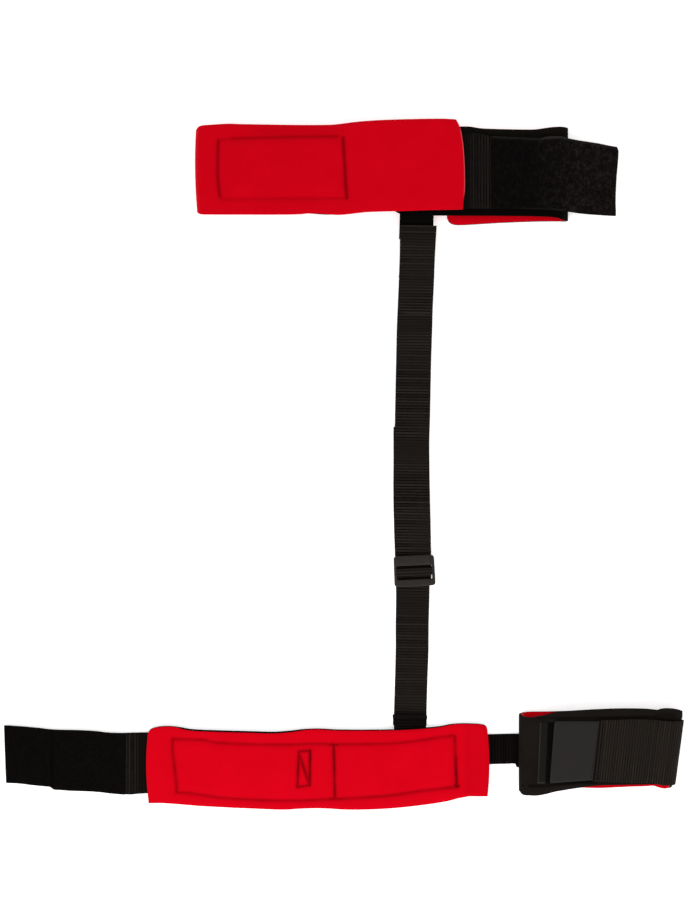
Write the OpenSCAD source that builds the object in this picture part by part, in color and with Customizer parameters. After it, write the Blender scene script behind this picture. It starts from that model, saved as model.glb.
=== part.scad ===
// Two-cuff neoprene exercise strap, lying flat on a floor.
// Millimetres. +X to the right of the lower pad, +Y from the lower pad
// towards the upper cuff, +Z up off the floor.
// Origin: centre of the bounding box, on the floor.

/* [Neoprene] */
// thickness of the red skin-side fabric and its foam
skin_thickness = 1.2; // [0.8:0.1:2]
// thickness of the black outer side
outer_thickness = 1.8; // [1.2:0.1:3]
// free height between two folded layers of the upper cuff
fold_gap = 3; // [2:0.5:5]
// free height inside the closed side cuff
limb_gap = 6; // [5:0.5:12]

/* [Webbing] */
// width of the long strap
web_width = 24.5; // [20:0.5:30]
// thickness of all the webbing
web_thickness = 1.5; // [1:0.1:2]
// free height between webbing that slides past other webbing
web_clearance = 0.3; // [0.3:0.1:0.6]
// lean of the long strap to the right, in degrees
strap_lean = 0.9; // [0:0.1:3]
// slider centre, along X
slider_x = 48.7; // [40:0.1:60]
// slider centre, along Y
slider_y = -76.6; // [-120:0.1:0]
// end of the free tail, above the slider centre
tail_length = 103; // [60:1:150]
// sewn end of the long strap, above the slider centre
strap_length = 250.5; // [200:0.5:300]
// width of the connector between the pad and the side cuff
connector_width = 21.5; // [18:0.5:26]

/* [Slider] */
// slider width across the strap
slider_width = 29.8; // [27:0.1:34]
// width of the wide bar
top_bar = 6.8; // [4:0.1:9]
// width of the narrow bar
bottom_bar = 4.7; // [3:0.1:8]
// height of the zone with the two slots
slot_zone = 9.9; // [8:0.1:12]
// length of the slots
slot_length = 25.5; // [24.8:0.1:28]
// width of the centre bar
centre_bar = 3.5; // [2.5:0.1:4]
// thickness of the slider
slider_thickness = 3; // [2:0.1:4]
// thickness of the centre bar
centre_bar_thickness = 1.8; // [1.4:0.1:2.5]
// turn of the slider on its strap, in degrees
slider_turn = 2.7; // [0:0.1:4]

/* [Upper cuff] */
// left fold of the upper cuff
upper_left = -106.4; // [-120:0.1:-90]
// right fold of the upper cuff
upper_right = 160.3; // [150:0.1:170]
// lower edge of the upper cuff at its left fold
upper_low = 178.5; // [170:0.1:185]
// upper edge of the upper cuff at its left fold
upper_high = 242.8; // [235:0.1:250]
// cut end of the front layer
front_end = 85.4; // [70:0.1:100]
// free end of the upper closure strap
upper_strap_end = 194.9; // [180:0.1:210]
// width of the upper closure strap
upper_strap_width = 51; // [45:0.5:60]
// start of the hook area of the upper closure strap
upper_hook_start = 106; // [95:0.5:120]

/* [Lower pad] */
// left end of the pad
pad_left = -139.6; // [-150:0.1:-130]
// right end of the pad
pad_right = 104.2; // [95:0.1:115]
// free end of the left closure strap
lower_strap_end = -242; // [-250:0.1:-230]
// start of the hook area of the left closure strap
lower_hook_start = -153; // [-165:0.5:-145]
// crease across the left closure strap
lower_crease = -208.6; // [-215:0.1:-200]
// thickness of hook and loop fabric
hook_thickness = 0.8; // [0.6:0.1:1.2]
// seam that divides the pad's stitched rectangle
pad_seam_x = -7.4; // [-20:0.1:10]

/* [Side cuff] */
// left fold of the side cuff
side_left = 124.2; // [115:0.1:130]
// right end of the side cuff, over its elastic
side_right = 242; // [235:0.1:250]
// thickness of the elastic
elastic_thickness = 1.5; // [1:0.1:2]
// seam between the elastic and the hook tab
side_tab_seam = 181; // [170:0.5:190]
// free end of the hook tab
side_tab_end = 147.6; // [140:0.1:155]

/* [Seams] */
// width of a stitched seam
seam_width = 1; // [0.6:0.1:2]
// height of a stitched seam over the fabric
seam_height = 0.3; // [0.2:0.1:0.5]

/* [Hidden] */
$fn = 48;

layer = skin_thickness + outer_thickness;

// levels of the upper cuff, from the floor up
under_z = 0;
middle_z = layer + fold_gap;
front_z = 2 * (layer + fold_gap);
front_top = front_z + layer;
fold_r = layer + fold_gap / 2;
left_fold_x = upper_left + fold_r;
right_fold_x = upper_right - fold_r;

// levels of the lower pad
patch_z = web_thickness;
pad_z = patch_z + hook_thickness;
pad_top = pad_z + layer;

// levels of the side cuff
side_z = web_thickness;
side_fold_r = layer + limb_gap / 2;
side_mid_z = side_z + side_fold_r;
side_front_z = side_z + layer + limb_gap;
side_top = side_front_z + layer;
side_patch_top = side_top + hook_thickness - 0.2;
side_strap_z = side_patch_top + web_clearance;
side_strap_top = side_strap_z + elastic_thickness;
side_wrap_r = side_strap_z - side_mid_z;
side_wrap_x = side_right - side_wrap_r - elastic_thickness;
side_fold_x = side_left + side_fold_r;

// levels of the long strap
upper_web_z = web_thickness + web_clearance;
slider_z = upper_web_z + web_thickness + web_clearance;
stub_z = middle_z + layer;

// outlines, anticlockwise from the lower left corner
front_outline = [
    [left_fold_x + 0.6, upper_low], [-2, upper_low + 0.2],
    [10, upper_low + 1.6], [34, upper_low + 2.9], [62, upper_low + 4.2],
    [front_end - 1, upper_low + 3.8], [front_end, 195], [front_end + 0.6, 215],
    [front_end - 0.4, 234], [front_end - 2, 243], [front_end - 6, 246.1],
    [40, 246.3], [18, 245.8], [4, 244.3], [-10, upper_high],
    [left_fold_x + 0.6, upper_high]
];
middle_outline = [
    [left_fold_x, upper_low], [30, upper_low + 2.6], [40, 177.9],
    [right_fold_x, 174.4], [right_fold_x, 241], [146, 240.6], [134, 238.9],
    [115, 238.9], [84, 241], [left_fold_x, upper_high]
];
under_outline = [
    [79.6, 170.8], [right_fold_x, 174.6], [right_fold_x, 238],
    [76, 238], [73.6, 178]
];
pad_outline = [
    [pad_left + 0.4, -242], [-131.4, -241.5], [-110, -242.9], [-81, -244.8],
    [-55, -245.9], [-20, -246.3], [15, -246.3], [40, -244.9], [58, -243.2],
    [70, -240.8], [84, -237.8], [pad_right - 1.6, -236.4],
    [pad_right, -230], [pad_right, -194], [pad_right - 2.6, -187.5],
    [pad_right - 8, -185], [86, -184.6], [68.5, -186.7], [47, -188.6],
    [15, -189.3], [-17, -188.8], [-60, -190.6], [-103, -189.2],
    [-117, -187.2], [-131.4, -186.6], [pad_left + 1.6, -188.4],
    [pad_left, -193]
];
side_back_outline = [
    [side_fold_x, -235.2], [140, -235], [154, -233.2], [168, -232],
    [210, -231.6], [side_wrap_x, -230.6], [side_wrap_x, -174.4],
    [200, -174.3], [168, -175.4], [side_fold_x, -176.6]
];
side_front_outline = [
    [side_fold_x, -235.2], [140, -235], [154, -232.8], [168, -230],
    [side_wrap_x, -228.9], [side_wrap_x, -175], [200, -174.8],
    [168, -175.8], [152, -177.6], [142, -180.2], [side_fold_x, -179.9]
];

module sheet_of(outline, z, thickness) {
    translate([0, 0, z]) linear_extrude(thickness) polygon(outline);
}

// a bar along Y, from its low corner to its high corner
module block(low, high) {
    translate(low) cube(high - low);
}

// a turned-over edge: half a ring along Y, open towards -X when right
// is true
module fold(x, z, inner, outer, low, high, right) {
    translate([x, high, z]) rotate([90, 0, 0]) linear_extrude(high - low)
        intersection() {
            difference() { circle(outer); circle(inner); }
            translate([right ? 0 : -outer, -outer]) square([outer, 2 * outer]);
        }
}

// the long strap's own frame: origin under the slider's centre, +Y up
// the strap
module on_strap() {
    translate([slider_x, slider_y, 0]) rotate([0, 0, -strap_lean]) children();
}

// a strip of webbing from its side outline, given as [along, height]
module strip(profile, width) {
    translate([-width / 2, 0, 0]) rotate([90, 0, 90])
        linear_extrude(width) polygon(profile);
}

// a closure strap that leans: left and right ends with their low and high Y
module band(x0, low0, high0, x1, low1, high1, z, thickness) {
    translate([0, 0, z]) linear_extrude(thickness)
        polygon([[x0, low0], [x1, low1], [x1, high1], [x0, high0]]);
}

// a stitched frame through the four corners of a panel
module seam_frame(corners, z) {
    translate([0, 0, z]) linear_extrude(seam_height) difference() {
        polygon(corners);
        polygon([
            corners[0] + [seam_width, seam_width],
            corners[1] + [-seam_width, seam_width],
            corners[2] + [-seam_width, -seam_width],
            corners[3] + [seam_width, -seam_width]
        ]);
    }
}

// ---- long strap ----

module lower_web() {
    color("dimgray") on_strap()
        strip([[-166, 0], [tail_length, 0], [tail_length, web_thickness],
            [-166, web_thickness]], web_width);
}

module lower_anchor_fold() {
    roll = 2.1;
    color("dimgray") on_strap() translate([0, -106.4, 0])
        rotate([90, 0, 90]) translate([0, web_thickness + roll, -web_width / 2])
            linear_extrude(web_width) {
                difference() {
                    intersection() {
                        circle(roll);
                        translate([0, -roll]) square([roll, 2 * roll]);
                    }
                    circle(roll - web_thickness);
                }
                translate([-3.9, -roll]) square([3.9, web_thickness]);
                translate([-3.9, roll - web_thickness])
                    square([3.9, web_thickness]);
            }
}

module upper_web() {
    foot = upper_web_z;
    color("dimgray") on_strap()
        strip([
            [10.2, foot], [strap_length - 33, foot],
            [strap_length, stub_z + web_thickness],
            [strap_length, stub_z + 2 * web_thickness],
            [strap_length - 33, foot + web_thickness],
            [10.2, foot + web_thickness]
        ], web_width);
}

module upper_web_stub() {
    drop = (stub_z + web_thickness - upper_web_z) / 33 * 14;
    color("dimgray") on_strap()
        strip([
            [strap_length - 14, stub_z - drop], [strap_length, stub_z],
            [strap_length + 34, stub_z],
            [strap_length + 34, stub_z + web_thickness],
            [strap_length, stub_z + web_thickness],
            [strap_length - 14, stub_z + web_thickness - drop]
        ], web_width);
}

module slider() {
    high = slot_zone / 2 + top_bar;
    low = slot_zone / 2 + bottom_bar;
    half = slider_width / 2;
    color("darkslategray") on_strap() rotate([0, 0, slider_turn + strap_lean])
        translate([0, 0, slider_z]) {
            difference() {
                linear_extrude(slider_thickness) polygon([
                    [-half + 2, -low + 0.4], [0, -low - 0.8],
                    [half - 2, -low + 0.4], [half, -low + 2.4],
                    [half, high - 2], [half - 2, high], [-half + 2, high],
                    [-half, high - 2], [-half, -low + 2.4]
                ]);
                translate([-slot_length / 2, -slot_zone / 2, -1])
                    cube([slot_length, slot_zone, slider_thickness + 2]);
            }
            block([-slot_length / 2, -centre_bar / 2, 0],
                [slot_length / 2, centre_bar / 2, centre_bar_thickness]);
        }
}

module slider_bight() {
    near = centre_bar / 2 + 0.2;
    far = near + web_thickness;
    foot = upper_web_z;
    over = slider_z + centre_bar_thickness + 0.2;
    color("dimgray") on_strap() rotate([0, 0, slider_turn + strap_lean])
        strip([
            [-9, foot], [-near, foot], [-near, over], [near, over],
            [near, foot], [9.2, foot], [9.2, foot + web_thickness],
            [far, foot + web_thickness], [far, over + web_thickness - 0.6],
            [far - 0.6, over + web_thickness],
            [-far + 0.6, over + web_thickness],
            [-far, over + web_thickness - 0.6], [-far, foot + web_thickness],
            [-9, foot + web_thickness]
        ], web_width);
}

// ---- upper cuff ----

module upper_under_outer() {
    color("black") sheet_of(under_outline, under_z, outer_thickness);
}

module upper_under_skin() {
    color("crimson")
        sheet_of(under_outline, under_z + outer_thickness, skin_thickness);
}

module upper_middle_skin() {
    color("crimson") sheet_of(middle_outline, middle_z, skin_thickness);
}

module upper_middle_outer() {
    color("black")
        sheet_of(middle_outline, middle_z + skin_thickness, outer_thickness);
}

module upper_right_fold_skin() {
    color("crimson") fold(right_fold_x, layer + fold_gap / 2, fold_gap / 2,
        fold_gap / 2 + skin_thickness, 174.6, 238, true);
}

module upper_right_fold_outer() {
    color("black") fold(right_fold_x, layer + fold_gap / 2,
        fold_gap / 2 + skin_thickness, fold_r, 174.5, 240.8, true);
}

module upper_left_fold_outer() {
    color("black") fold(left_fold_x, stub_z + fold_gap / 2, fold_gap / 2,
        fold_gap / 2 + outer_thickness, upper_low, upper_high, false);
}

module upper_left_fold_skin() {
    color("crimson") fold(left_fold_x, stub_z + fold_gap / 2,
        fold_gap / 2 + outer_thickness, fold_r, upper_low, upper_high - 0.6,
        false);
}

module upper_front_outer() {
    color("black") sheet_of(front_outline, front_z, outer_thickness);
}

module upper_front_skin() {
    color("crimson")
        sheet_of(front_outline, front_z + outer_thickness, skin_thickness);
}

module upper_front_seam() {
    color("darkred") seam_frame([[-90.4, 189.4], [2.4, 189.8],
        [-0.4, 233.9], [-90.4, 231.3]], front_top);
}

module upper_loop_patch() {
    color("black") band(-89, 190.6, 230.2, 0.6, 191, 232.4,
        front_z - hook_thickness, hook_thickness);
}

module upper_closure_root() {
    color("black") band(70, 184.2, 235.9, front_end - 1.6, 183.4, 235.4,
        front_z - elastic_thickness, elastic_thickness);
}

upper_slope = -0.0685;
function upper_strap_mid(x) = 209 + (x - 88) * upper_slope;

module upper_closure_piece(x0, x1, z, thickness, inset = 0) {
    half = upper_strap_width / 2 - inset;
    band(x0, upper_strap_mid(x0) - half, upper_strap_mid(x0) + half,
        x1, upper_strap_mid(x1) - half, upper_strap_mid(x1) + half,
        z, thickness);
}

module upper_closure_elastic() {
    color("dimgray") upper_closure_piece(front_end + 1.4, upper_hook_start + 6,
        front_z - elastic_thickness, elastic_thickness);
}

module upper_closure_hook() {
    color("black") upper_closure_piece(upper_hook_start + 6, upper_strap_end,
        front_z - elastic_thickness, elastic_thickness);
}

module upper_closure_overlay() {
    color("black") upper_closure_piece(upper_hook_start, upper_strap_end - 1,
        front_z, hook_thickness, 0.6);
}

// ---- lower pad ----

module pad_lining() {
    color("black") sheet_of(pad_outline, pad_z, outer_thickness);
}

module pad_skin() {
    color("crimson") intersection() {
        sheet_of(pad_outline, pad_z + outer_thickness, skin_thickness);
        translate([0, -0.7, 0])
            sheet_of(pad_outline, pad_z + outer_thickness, skin_thickness);
    }
}

module pad_seam() {
    color("darkred") {
        seam_frame([[-119.2, -234.2], [pad_seam_x, -239.2],
            [pad_seam_x, -200.6], [-121.7, -196.7]], pad_top);
        seam_frame([[pad_seam_x, -239.2], [80.4, -230.4], [79.6, -193.5],
            [pad_seam_x, -200.6]], pad_top);
    }
}

module pad_tack() {
    color("maroon") translate([0, 0, pad_top]) linear_extrude(seam_height)
        difference() {
            polygon([[-34.2, -231.3], [-24.4, -231.3], [-24.4, -204.2],
                [-34.2, -204.2]]);
            polygon([[-33.2, -229], [-33.2, -205.2], [-26.4, -205.2]]);
            polygon([[-25.4, -206.4], [-25.4, -230.3], [-32.2, -230.3]]);
        }
}

module pad_loop_patch() {
    color("black") band(-120, -233, -198, pad_seam_x - 1, -238, -201.6,
        patch_z, hook_thickness);
}

module pad_anchor_patch() {
    color("black") band(pad_seam_x + 1, -238, -201.6, 96, -229, -193,
        patch_z, hook_thickness);
}

module lower_closure_root() {
    color("black") band(pad_left + 0.3, -234, -192, -124, -233.4, -191.6,
        patch_z + hook_thickness - elastic_thickness, elastic_thickness);
}

module connector_root() {
    color("dimgray") block([66, -204.2 - connector_width / 2, 0],
        [pad_right, -204.2 + connector_width / 2, web_thickness]);
}

// ---- left closure strap ----

lower_strap_z = patch_z + hook_thickness - elastic_thickness;

module lower_closure_elastic() {
    color("dimgray") translate([0, 0, lower_strap_z])
        linear_extrude(elastic_thickness) polygon([
            [lower_strap_end, -226.4], [lower_crease, -229.6],
            [lower_crease + 4, -231.4], [-180, -233.2], [-158, -235.2],
            [pad_left - 0.6, -234.3], [pad_left - 0.6, -191.5],
            [-172, -190.6], [-200, -188.9], [lower_strap_end, -185.6]
        ]);
}

module lower_closure_hook() {
    color("black") translate([0, 0, lower_strap_z + elastic_thickness])
        linear_extrude(hook_thickness) polygon([
            [lower_crease + 0.6, -230], [lower_crease + 4, -231],
            [-180, -232.8], [lower_hook_start, -234.6],
            [lower_hook_start, -191.4], [-172, -191], [-200, -189.3],
            [lower_crease + 0.6, -188.7]
        ]);
}

module lower_closure_tab() {
    color("black") band(lower_strap_end + 0.8, -226.2, -186.2,
        lower_crease - 0.6, -229.2, -188.6,
        lower_strap_z + elastic_thickness, hook_thickness);
}

// ---- side cuff ----

module connector_web() {
    color("dimgray") block([pad_right + 0.6, -204.2 - connector_width / 2, 0],
        [168, -204.2 + connector_width / 2, web_thickness]);
}

module side_back_outer() {
    color("black") sheet_of(side_back_outline, side_z, outer_thickness);
}

module side_back_skin() {
    color("crimson") sheet_of(side_back_outline, side_z + outer_thickness,
        skin_thickness);
}

module side_left_fold_skin() {
    color("crimson") fold(side_fold_x, side_mid_z, limb_gap / 2,
        limb_gap / 2 + skin_thickness, -235.2, -177.4, false);
}

module side_left_fold_outer() {
    color("black") fold(side_fold_x, side_mid_z,
        limb_gap / 2 + skin_thickness, side_fold_r, -235.2, -178, false);
}

module side_right_fold_skin() {
    color("crimson") fold(side_wrap_x, side_mid_z, limb_gap / 2,
        limb_gap / 2 + skin_thickness, -228.9, -176, true);
}

module side_right_fold_outer() {
    color("black") fold(side_wrap_x, side_mid_z,
        limb_gap / 2 + skin_thickness, side_fold_r, -228.9, -175, true);
}

module side_front_skin() {
    color("crimson")
        sheet_of(side_front_outline, side_front_z, skin_thickness);
}

module side_front_outer() {
    color("black") sheet_of(side_front_outline,
        side_front_z + skin_thickness, outer_thickness);
}

module side_loop_patch() {
    color("black") band(137.8, -228.6, -183.8, 196, -227.8, -183.8,
        side_top, side_patch_top - side_top);
}

// the elastic's turn round the right end, from under the cuff to its top
module side_closure_wrap() {
    color("dimgray") translate([side_wrap_x, -183.5, side_mid_z])
        rotate([90, 0, 0]) linear_extrude(45.7) intersection() {
            difference() {
                circle(side_wrap_r + elastic_thickness);
                circle(side_wrap_r);
            }
            polygon([[0, 0], [6, -12], [20, -12], [20, 20], [0, 20]]);
        }
}

module side_closure_hem() {
    color("dimgray") translate([side_wrap_x, -184.2, side_mid_z])
        rotate([90, 0, 0]) linear_extrude(44.3) intersection() {
            difference() { circle(side_wrap_r - 0.02); circle(side_fold_r); }
            polygon([[0, 0], [6, -12], [20, -12], [20, -4]]);
        }
}

module side_closure_elastic() {
    color("dimgray") band(side_tab_seam, -229, -183.2, side_wrap_x - 0.6,
        -229.2, -183.5, side_strap_z, elastic_thickness);
}

module side_hook_tab() {
    color("black") translate([0, 0, side_strap_z])
        linear_extrude(elastic_thickness) polygon([
            [side_tab_end + 0.8, -226.6], [side_tab_end + 2.8, -228.2],
            [side_tab_seam, -228.4], [side_tab_seam, -183.2],
            [side_tab_end + 1.4, -182.8], [side_tab_end, -184.4]
        ]);
}

lower_web();
lower_anchor_fold();
upper_web();
upper_web_stub();
slider();
slider_bight();
upper_under_outer();
upper_under_skin();
upper_middle_skin();
upper_middle_outer();
upper_right_fold_skin();
upper_right_fold_outer();
upper_left_fold_outer();
upper_left_fold_skin();
upper_front_outer();
upper_front_skin();
upper_front_seam();
upper_loop_patch();
upper_closure_root();
upper_closure_elastic();
upper_closure_hook();
upper_closure_overlay();
pad_lining();
pad_skin();
pad_seam();
pad_tack();
pad_loop_patch();
pad_anchor_patch();
lower_closure_root();
connector_root();
lower_closure_elastic();
lower_closure_hook();
lower_closure_tab();
connector_web();
side_back_outer();
side_back_skin();
side_left_fold_skin();
side_left_fold_outer();
side_right_fold_skin();
side_right_fold_outer();
side_front_skin();
side_front_outer();
side_loop_patch();
side_closure_wrap();
side_closure_hem();
side_closure_elastic();
side_hook_tab();
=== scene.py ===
import math
import random
from functools import partial

import bpy
from mathutils import Matrix, Vector, noise


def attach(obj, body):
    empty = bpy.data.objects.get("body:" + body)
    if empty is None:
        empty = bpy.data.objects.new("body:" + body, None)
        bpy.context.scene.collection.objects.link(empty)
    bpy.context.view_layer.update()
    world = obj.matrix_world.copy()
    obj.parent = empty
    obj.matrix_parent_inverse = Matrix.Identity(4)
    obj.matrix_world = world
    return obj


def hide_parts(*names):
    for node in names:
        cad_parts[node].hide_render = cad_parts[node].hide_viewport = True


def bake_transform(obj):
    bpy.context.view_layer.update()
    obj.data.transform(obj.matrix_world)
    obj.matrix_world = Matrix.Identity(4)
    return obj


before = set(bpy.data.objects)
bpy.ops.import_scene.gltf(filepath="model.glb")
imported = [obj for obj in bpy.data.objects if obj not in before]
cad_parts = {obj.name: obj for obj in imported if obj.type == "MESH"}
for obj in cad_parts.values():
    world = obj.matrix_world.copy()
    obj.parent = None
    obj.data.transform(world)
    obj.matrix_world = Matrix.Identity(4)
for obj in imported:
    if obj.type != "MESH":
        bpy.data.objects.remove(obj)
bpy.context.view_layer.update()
mm = 0.001
print("frame loaded")


# small helpers for picking, finishing and placing

def pickNothing():
    if bpy.context.mode != "OBJECT":
        bpy.ops.object.mode_set(mode="OBJECT")
    bpy.ops.object.select_all(action="DESELECT")


def pickOnly(piece):
    pickNothing()
    piece.select_set(True)
    bpy.context.view_layer.objects.active = piece


def applyModifier(piece, kind, **settings):
    pickOnly(piece)
    step = piece.modifiers.new(kind.title(), kind)
    for key, value in settings.items():
        setattr(step, key, value)
    bpy.ops.object.modifier_apply(modifier=step.name)


def roundEdges(piece, width, segments, degrees):
    applyModifier(piece, "BEVEL", width=width * mm, segments=segments, limit_method="ANGLE",
                  angle_limit=math.radians(degrees))


def settleShape():
    bpy.ops.object.transform_apply(location=True, rotation=True, scale=True)


def smoothOver(piece, degrees):
    pickOnly(piece)
    bpy.ops.object.shade_smooth_by_angle(angle=math.radians(degrees))


def joinPieces(pieces, name):
    pickNothing()
    for piece in pieces:
        piece.select_set(True)
    bpy.context.view_layer.objects.active = pieces[0]
    bpy.ops.object.join()
    joined = bpy.context.object
    joined.name = joined.data.name = name
    return joined


def copyOf(source, transform):
    # each copy has a mesh of its own
    piece = source.copy()
    piece.data = source.data.copy()
    bpy.context.scene.collection.objects.link(piece)
    piece.data.transform(transform)
    return piece


def dress(piece, material, nodes, body):
    piece.data.materials.clear()
    piece.data.materials.append(material)
    if nodes:
        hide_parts(*nodes)
    if isinstance(body, dict):
        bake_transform(piece)
    else:
        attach(piece, body)


def mix(a, b, t):
    return a + (b - a) * t


def ease(t):
    t = min(max(t, 0), 1)
    return t * t * (3 - 2 * t)


def bell(distance, width):
    return math.exp(-((distance / width) ** 2))


def ribCrest(along, pitch):
    # 1 on a rib's crest and 0 in the groove between two
    return abs(math.cos(math.pi * along / pitch)) ** 0.7


def cloud(x, y, size, seed=0):
    return noise.noise(Vector((x / size, y / size, seed * 7.3)))


def edgeThrough(points):
    # a smooth cut edge through a few places along the band
    xs, ys = [p[0] for p in points], [p[1] for p in points]
    last = len(points) - 1
    slopes = [
        (ys[min(i + 1, last)] - ys[max(i - 1, 0)])
        / (xs[min(i + 1, last)] - xs[max(i - 1, 0)])
        for i in range(last + 1)
    ]

    def at(x):
        x = min(max(x, xs[0]), xs[last])
        i = max(k for k in range(last) if xs[k] <= x)
        span = xs[i + 1] - xs[i]
        t = (x - xs[i]) / span
        return (
            (2 * t**3 - 3 * t**2 + 1) * ys[i]
            + (t**3 - 2 * t**2 + t) * span * slopes[i]
            + (3 * t**2 - 2 * t**3) * ys[i + 1]
            + (t**3 - t**2) * span * slopes[i + 1]
        )

    return at


def straightRun(start, end):
    return {"kind": "run", "start": start, "end": end, "length": math.dist(start, end)}


def roundTurn(centre, radius, fromAngle, toAngle):
    return {
        "kind": "turn",
        "centre": centre,
        "radius": radius,
        "fromAngle": fromAngle,
        "toAngle": toAngle,
        "length": math.radians(abs(toAngle - fromAngle)) * radius,
    }


def followPath(path, s):
    # place, outward normal and part number at a length along a side outline
    for number, part in enumerate(path):
        if s <= part["length"] or number == len(path) - 1:
            t = min(max(s / part["length"], 0), 1)
            break
        s -= part["length"]
    if part["kind"] == "run":
        (ax, az), (bx, bz) = part["start"], part["end"]
        length = part["length"]
        return mix(ax, bx, t), mix(az, bz, t), -(bz - az) / length, (bx - ax) / length, number
    angle = math.radians(mix(part["fromAngle"], part["toAngle"], t))
    nx, nz = math.cos(angle), math.sin(angle)
    cx, cz = part["centre"]
    return cx + nx * part["radius"], cz + nz * part["radius"], nx, nz, number


def pathLength(path):
    return sum(part["length"] for part in path)


def awayFromLine(x, y, line):
    (ax, ay), (bx, by) = line
    dx, dy = bx - ax, by - ay
    t = min(max(((x - ax) * dx + (y - ay) * dy) / (dx * dx + dy * dy), 0), 1)
    return math.hypot(x - ax - dx * t, y - ay - dy * t)


def sewnRuns(seams):
    # short straight runs, each with how boldly it marks the cloth
    return [(a, b, bold) for points, bold in seams for a, b in zip(points, points[1:])]


def seamPull(x, y, lines, width):
    # nearness to the closest sewn line, and how strongly that line marks
    near, mark = 99.0, 0.0
    for a, b, bold in lines:
        away = awayFromLine(x, y, (a, b))
        near = min(near, away)
        mark = max(mark, bold * bell(away, width))
    return near, mark


def layCloth(name, columns, rows, place, thickness, rounding=0.4):
    # a grid laid out along its path, then given its thickness downwards
    pickNothing()
    bpy.ops.mesh.primitive_grid_add(x_subdivisions=columns, y_subdivisions=rows, size=2)
    piece = bpy.context.object
    piece.name = piece.data.name = name
    flat = []
    # two colour marks: the first carries painted shade, the second a painted highlight
    for markName in ("paintedShade", "paintedHighlight"):
        piece.data.attributes.new(markName, "FLOAT", "POINT")
    paintedShade, paintedHighlight = piece.data.attributes["paintedShade"], piece.data.attributes["paintedHighlight"]
    for point in piece.data.vertices:
        spot, along, across, *marks = place((point.co.x + 1) / 2, (point.co.y + 1) / 2)
        point.co = Vector(spot) * mm
        flat.append((along * mm, across * mm))
        if marks:
            paintedShade.data[point.index].value = marks[0]
            paintedHighlight.data[point.index].value = marks[1]
    sheet = piece.data.uv_layers[0]
    sheet.name = "flatCut"
    for loop in piece.data.loops:
        sheet.data[loop.index].uv = flat[loop.vertex_index]
    # the cut's length and width before it is laid, neither under a centimetre, and its area
    length, width = (max(0.01, max(places) - min(places)) for places in zip(*flat))
    area = sum(face.area for face in piece.data.polygons)
    piece["flatCut"] = (width, length, min(area, width * length))
    applyModifier(piece, "SOLIDIFY", thickness=thickness * mm, offset=-1)
    roundEdges(piece, rounding, 3, 48)
    smoothOver(piece, 60)
    return piece


def bandPlace(path, low, high, lift=0, relief=None, shift=None, marks=None, tuck=None):
    total = pathLength(path)

    def place(u, v):
        x, z, nx, nz, number = followPath(path, u * total)
        # the turned-under part can be tucked back from both edges
        hidden = tuck["share"] * max(0, tuck["top"] - z) if tuck else 0
        y = mix(low(x, number) + hidden, high(x, number) - hidden, v)
        up = lift + (relief(x, y, number) if relief else 0)
        move = shift(x, y, number) if shift else 0
        # the marks are painted shade and a painted highlight for the colour
        seam, highlight = marks(x, y, number, u) if marks else (0, 0)
        return (x + nx * up + move, y, z + nz * up), u * total, y, seam, highlight

    return place


def finishCloth(piece, material, nodes, body):
    del piece["flatCut"]
    dress(piece, material, nodes, body)


# camera, light and floor

studio = {
    "cameraAt": (0.0007, 0.0029, 1.6),
    "lens": 87.25,
    "floorColour": (0.93, 0.93, 0.93),
    "floorGlow": 0.42,
    "domeStrength": 0.8,
    "keyPower": 7.5,
    "fillPower": 1.6,
}

bpy.ops.object.camera_add(location=studio["cameraAt"], rotation=(0, 0, 0))
camera = bpy.context.object
camera.name = "studioCamera"
camera.data.lens = studio["lens"]
camera.data.clip_start = 0.01
bpy.context.scene.camera = camera

bpy.context.scene.view_settings.view_transform = "Standard"
bpy.context.scene.view_settings.look = "None"

world = bpy.data.worlds.new("studioDome")
bpy.context.scene.world = world
world.use_nodes = True
world.node_tree.nodes["Background"].inputs["Color"].default_value = (1, 1, 1, 1)
world.node_tree.nodes["Background"].inputs["Strength"].default_value = studio["domeStrength"]


def addSoftbox(name, place, aim, size, power):
    bpy.ops.object.light_add(type="AREA", location=place)
    lamp = bpy.context.object
    lamp.name = name
    lamp.data.shape = "RECTANGLE"
    lamp.data.size, lamp.data.size_y = size
    lamp.data.energy = power
    lamp.rotation_euler = (Vector(aim) - Vector(place)).to_track_quat("-Z", "Y").to_euler()
    return lamp


addSoftbox("keyBox", (-0.15, -0.8, 0.8), (0, -0.1, 0), (0.9, 0.6), studio["keyPower"])
addSoftbox("fillBox", (0.7, 0.5, 1.0), (0, 0.1, 0), (0.8, 0.8), studio["fillPower"])
print("studio set")


# shader groups shared by the finishes

def newGroup(name, settings, outputs):
    # a group takes a place and plain numbers, and gives plain numbers
    group = bpy.data.node_groups.new(name, "ShaderNodeTree")
    addSocket = group.interface.new_socket
    addSocket(name="Vector", in_out="INPUT", socket_type="NodeSocketVector")
    for socketName, value in settings.items():
        addSocket(name=socketName, in_out="INPUT", socket_type="NodeSocketFloat").default_value = value
    for socketName in outputs:
        addSocket(name=socketName, in_out="OUTPUT", socket_type="NodeSocketFloat")
    return group, group.nodes.new("NodeGroupInput"), group.nodes.new("NodeGroupOutput")


def mathNode(operation, tree, a, b=None, c=None, clamp=False):
    node = tree.nodes.new("ShaderNodeMath")
    node.operation = operation
    node.use_clamp = clamp
    for index, value in enumerate((a, b, c)):
        if value is None:
            continue
        if isinstance(value, (int, float)):
            node.inputs[index].default_value = value
        else:
            tree.links.new(value, node.inputs[index])
    return node.outputs[0]


plus, minus, times, over, power = (
    partial(mathNode, way) for way in ("ADD", "SUBTRACT", "MULTIPLY", "DIVIDE", "POWER")
)


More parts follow.
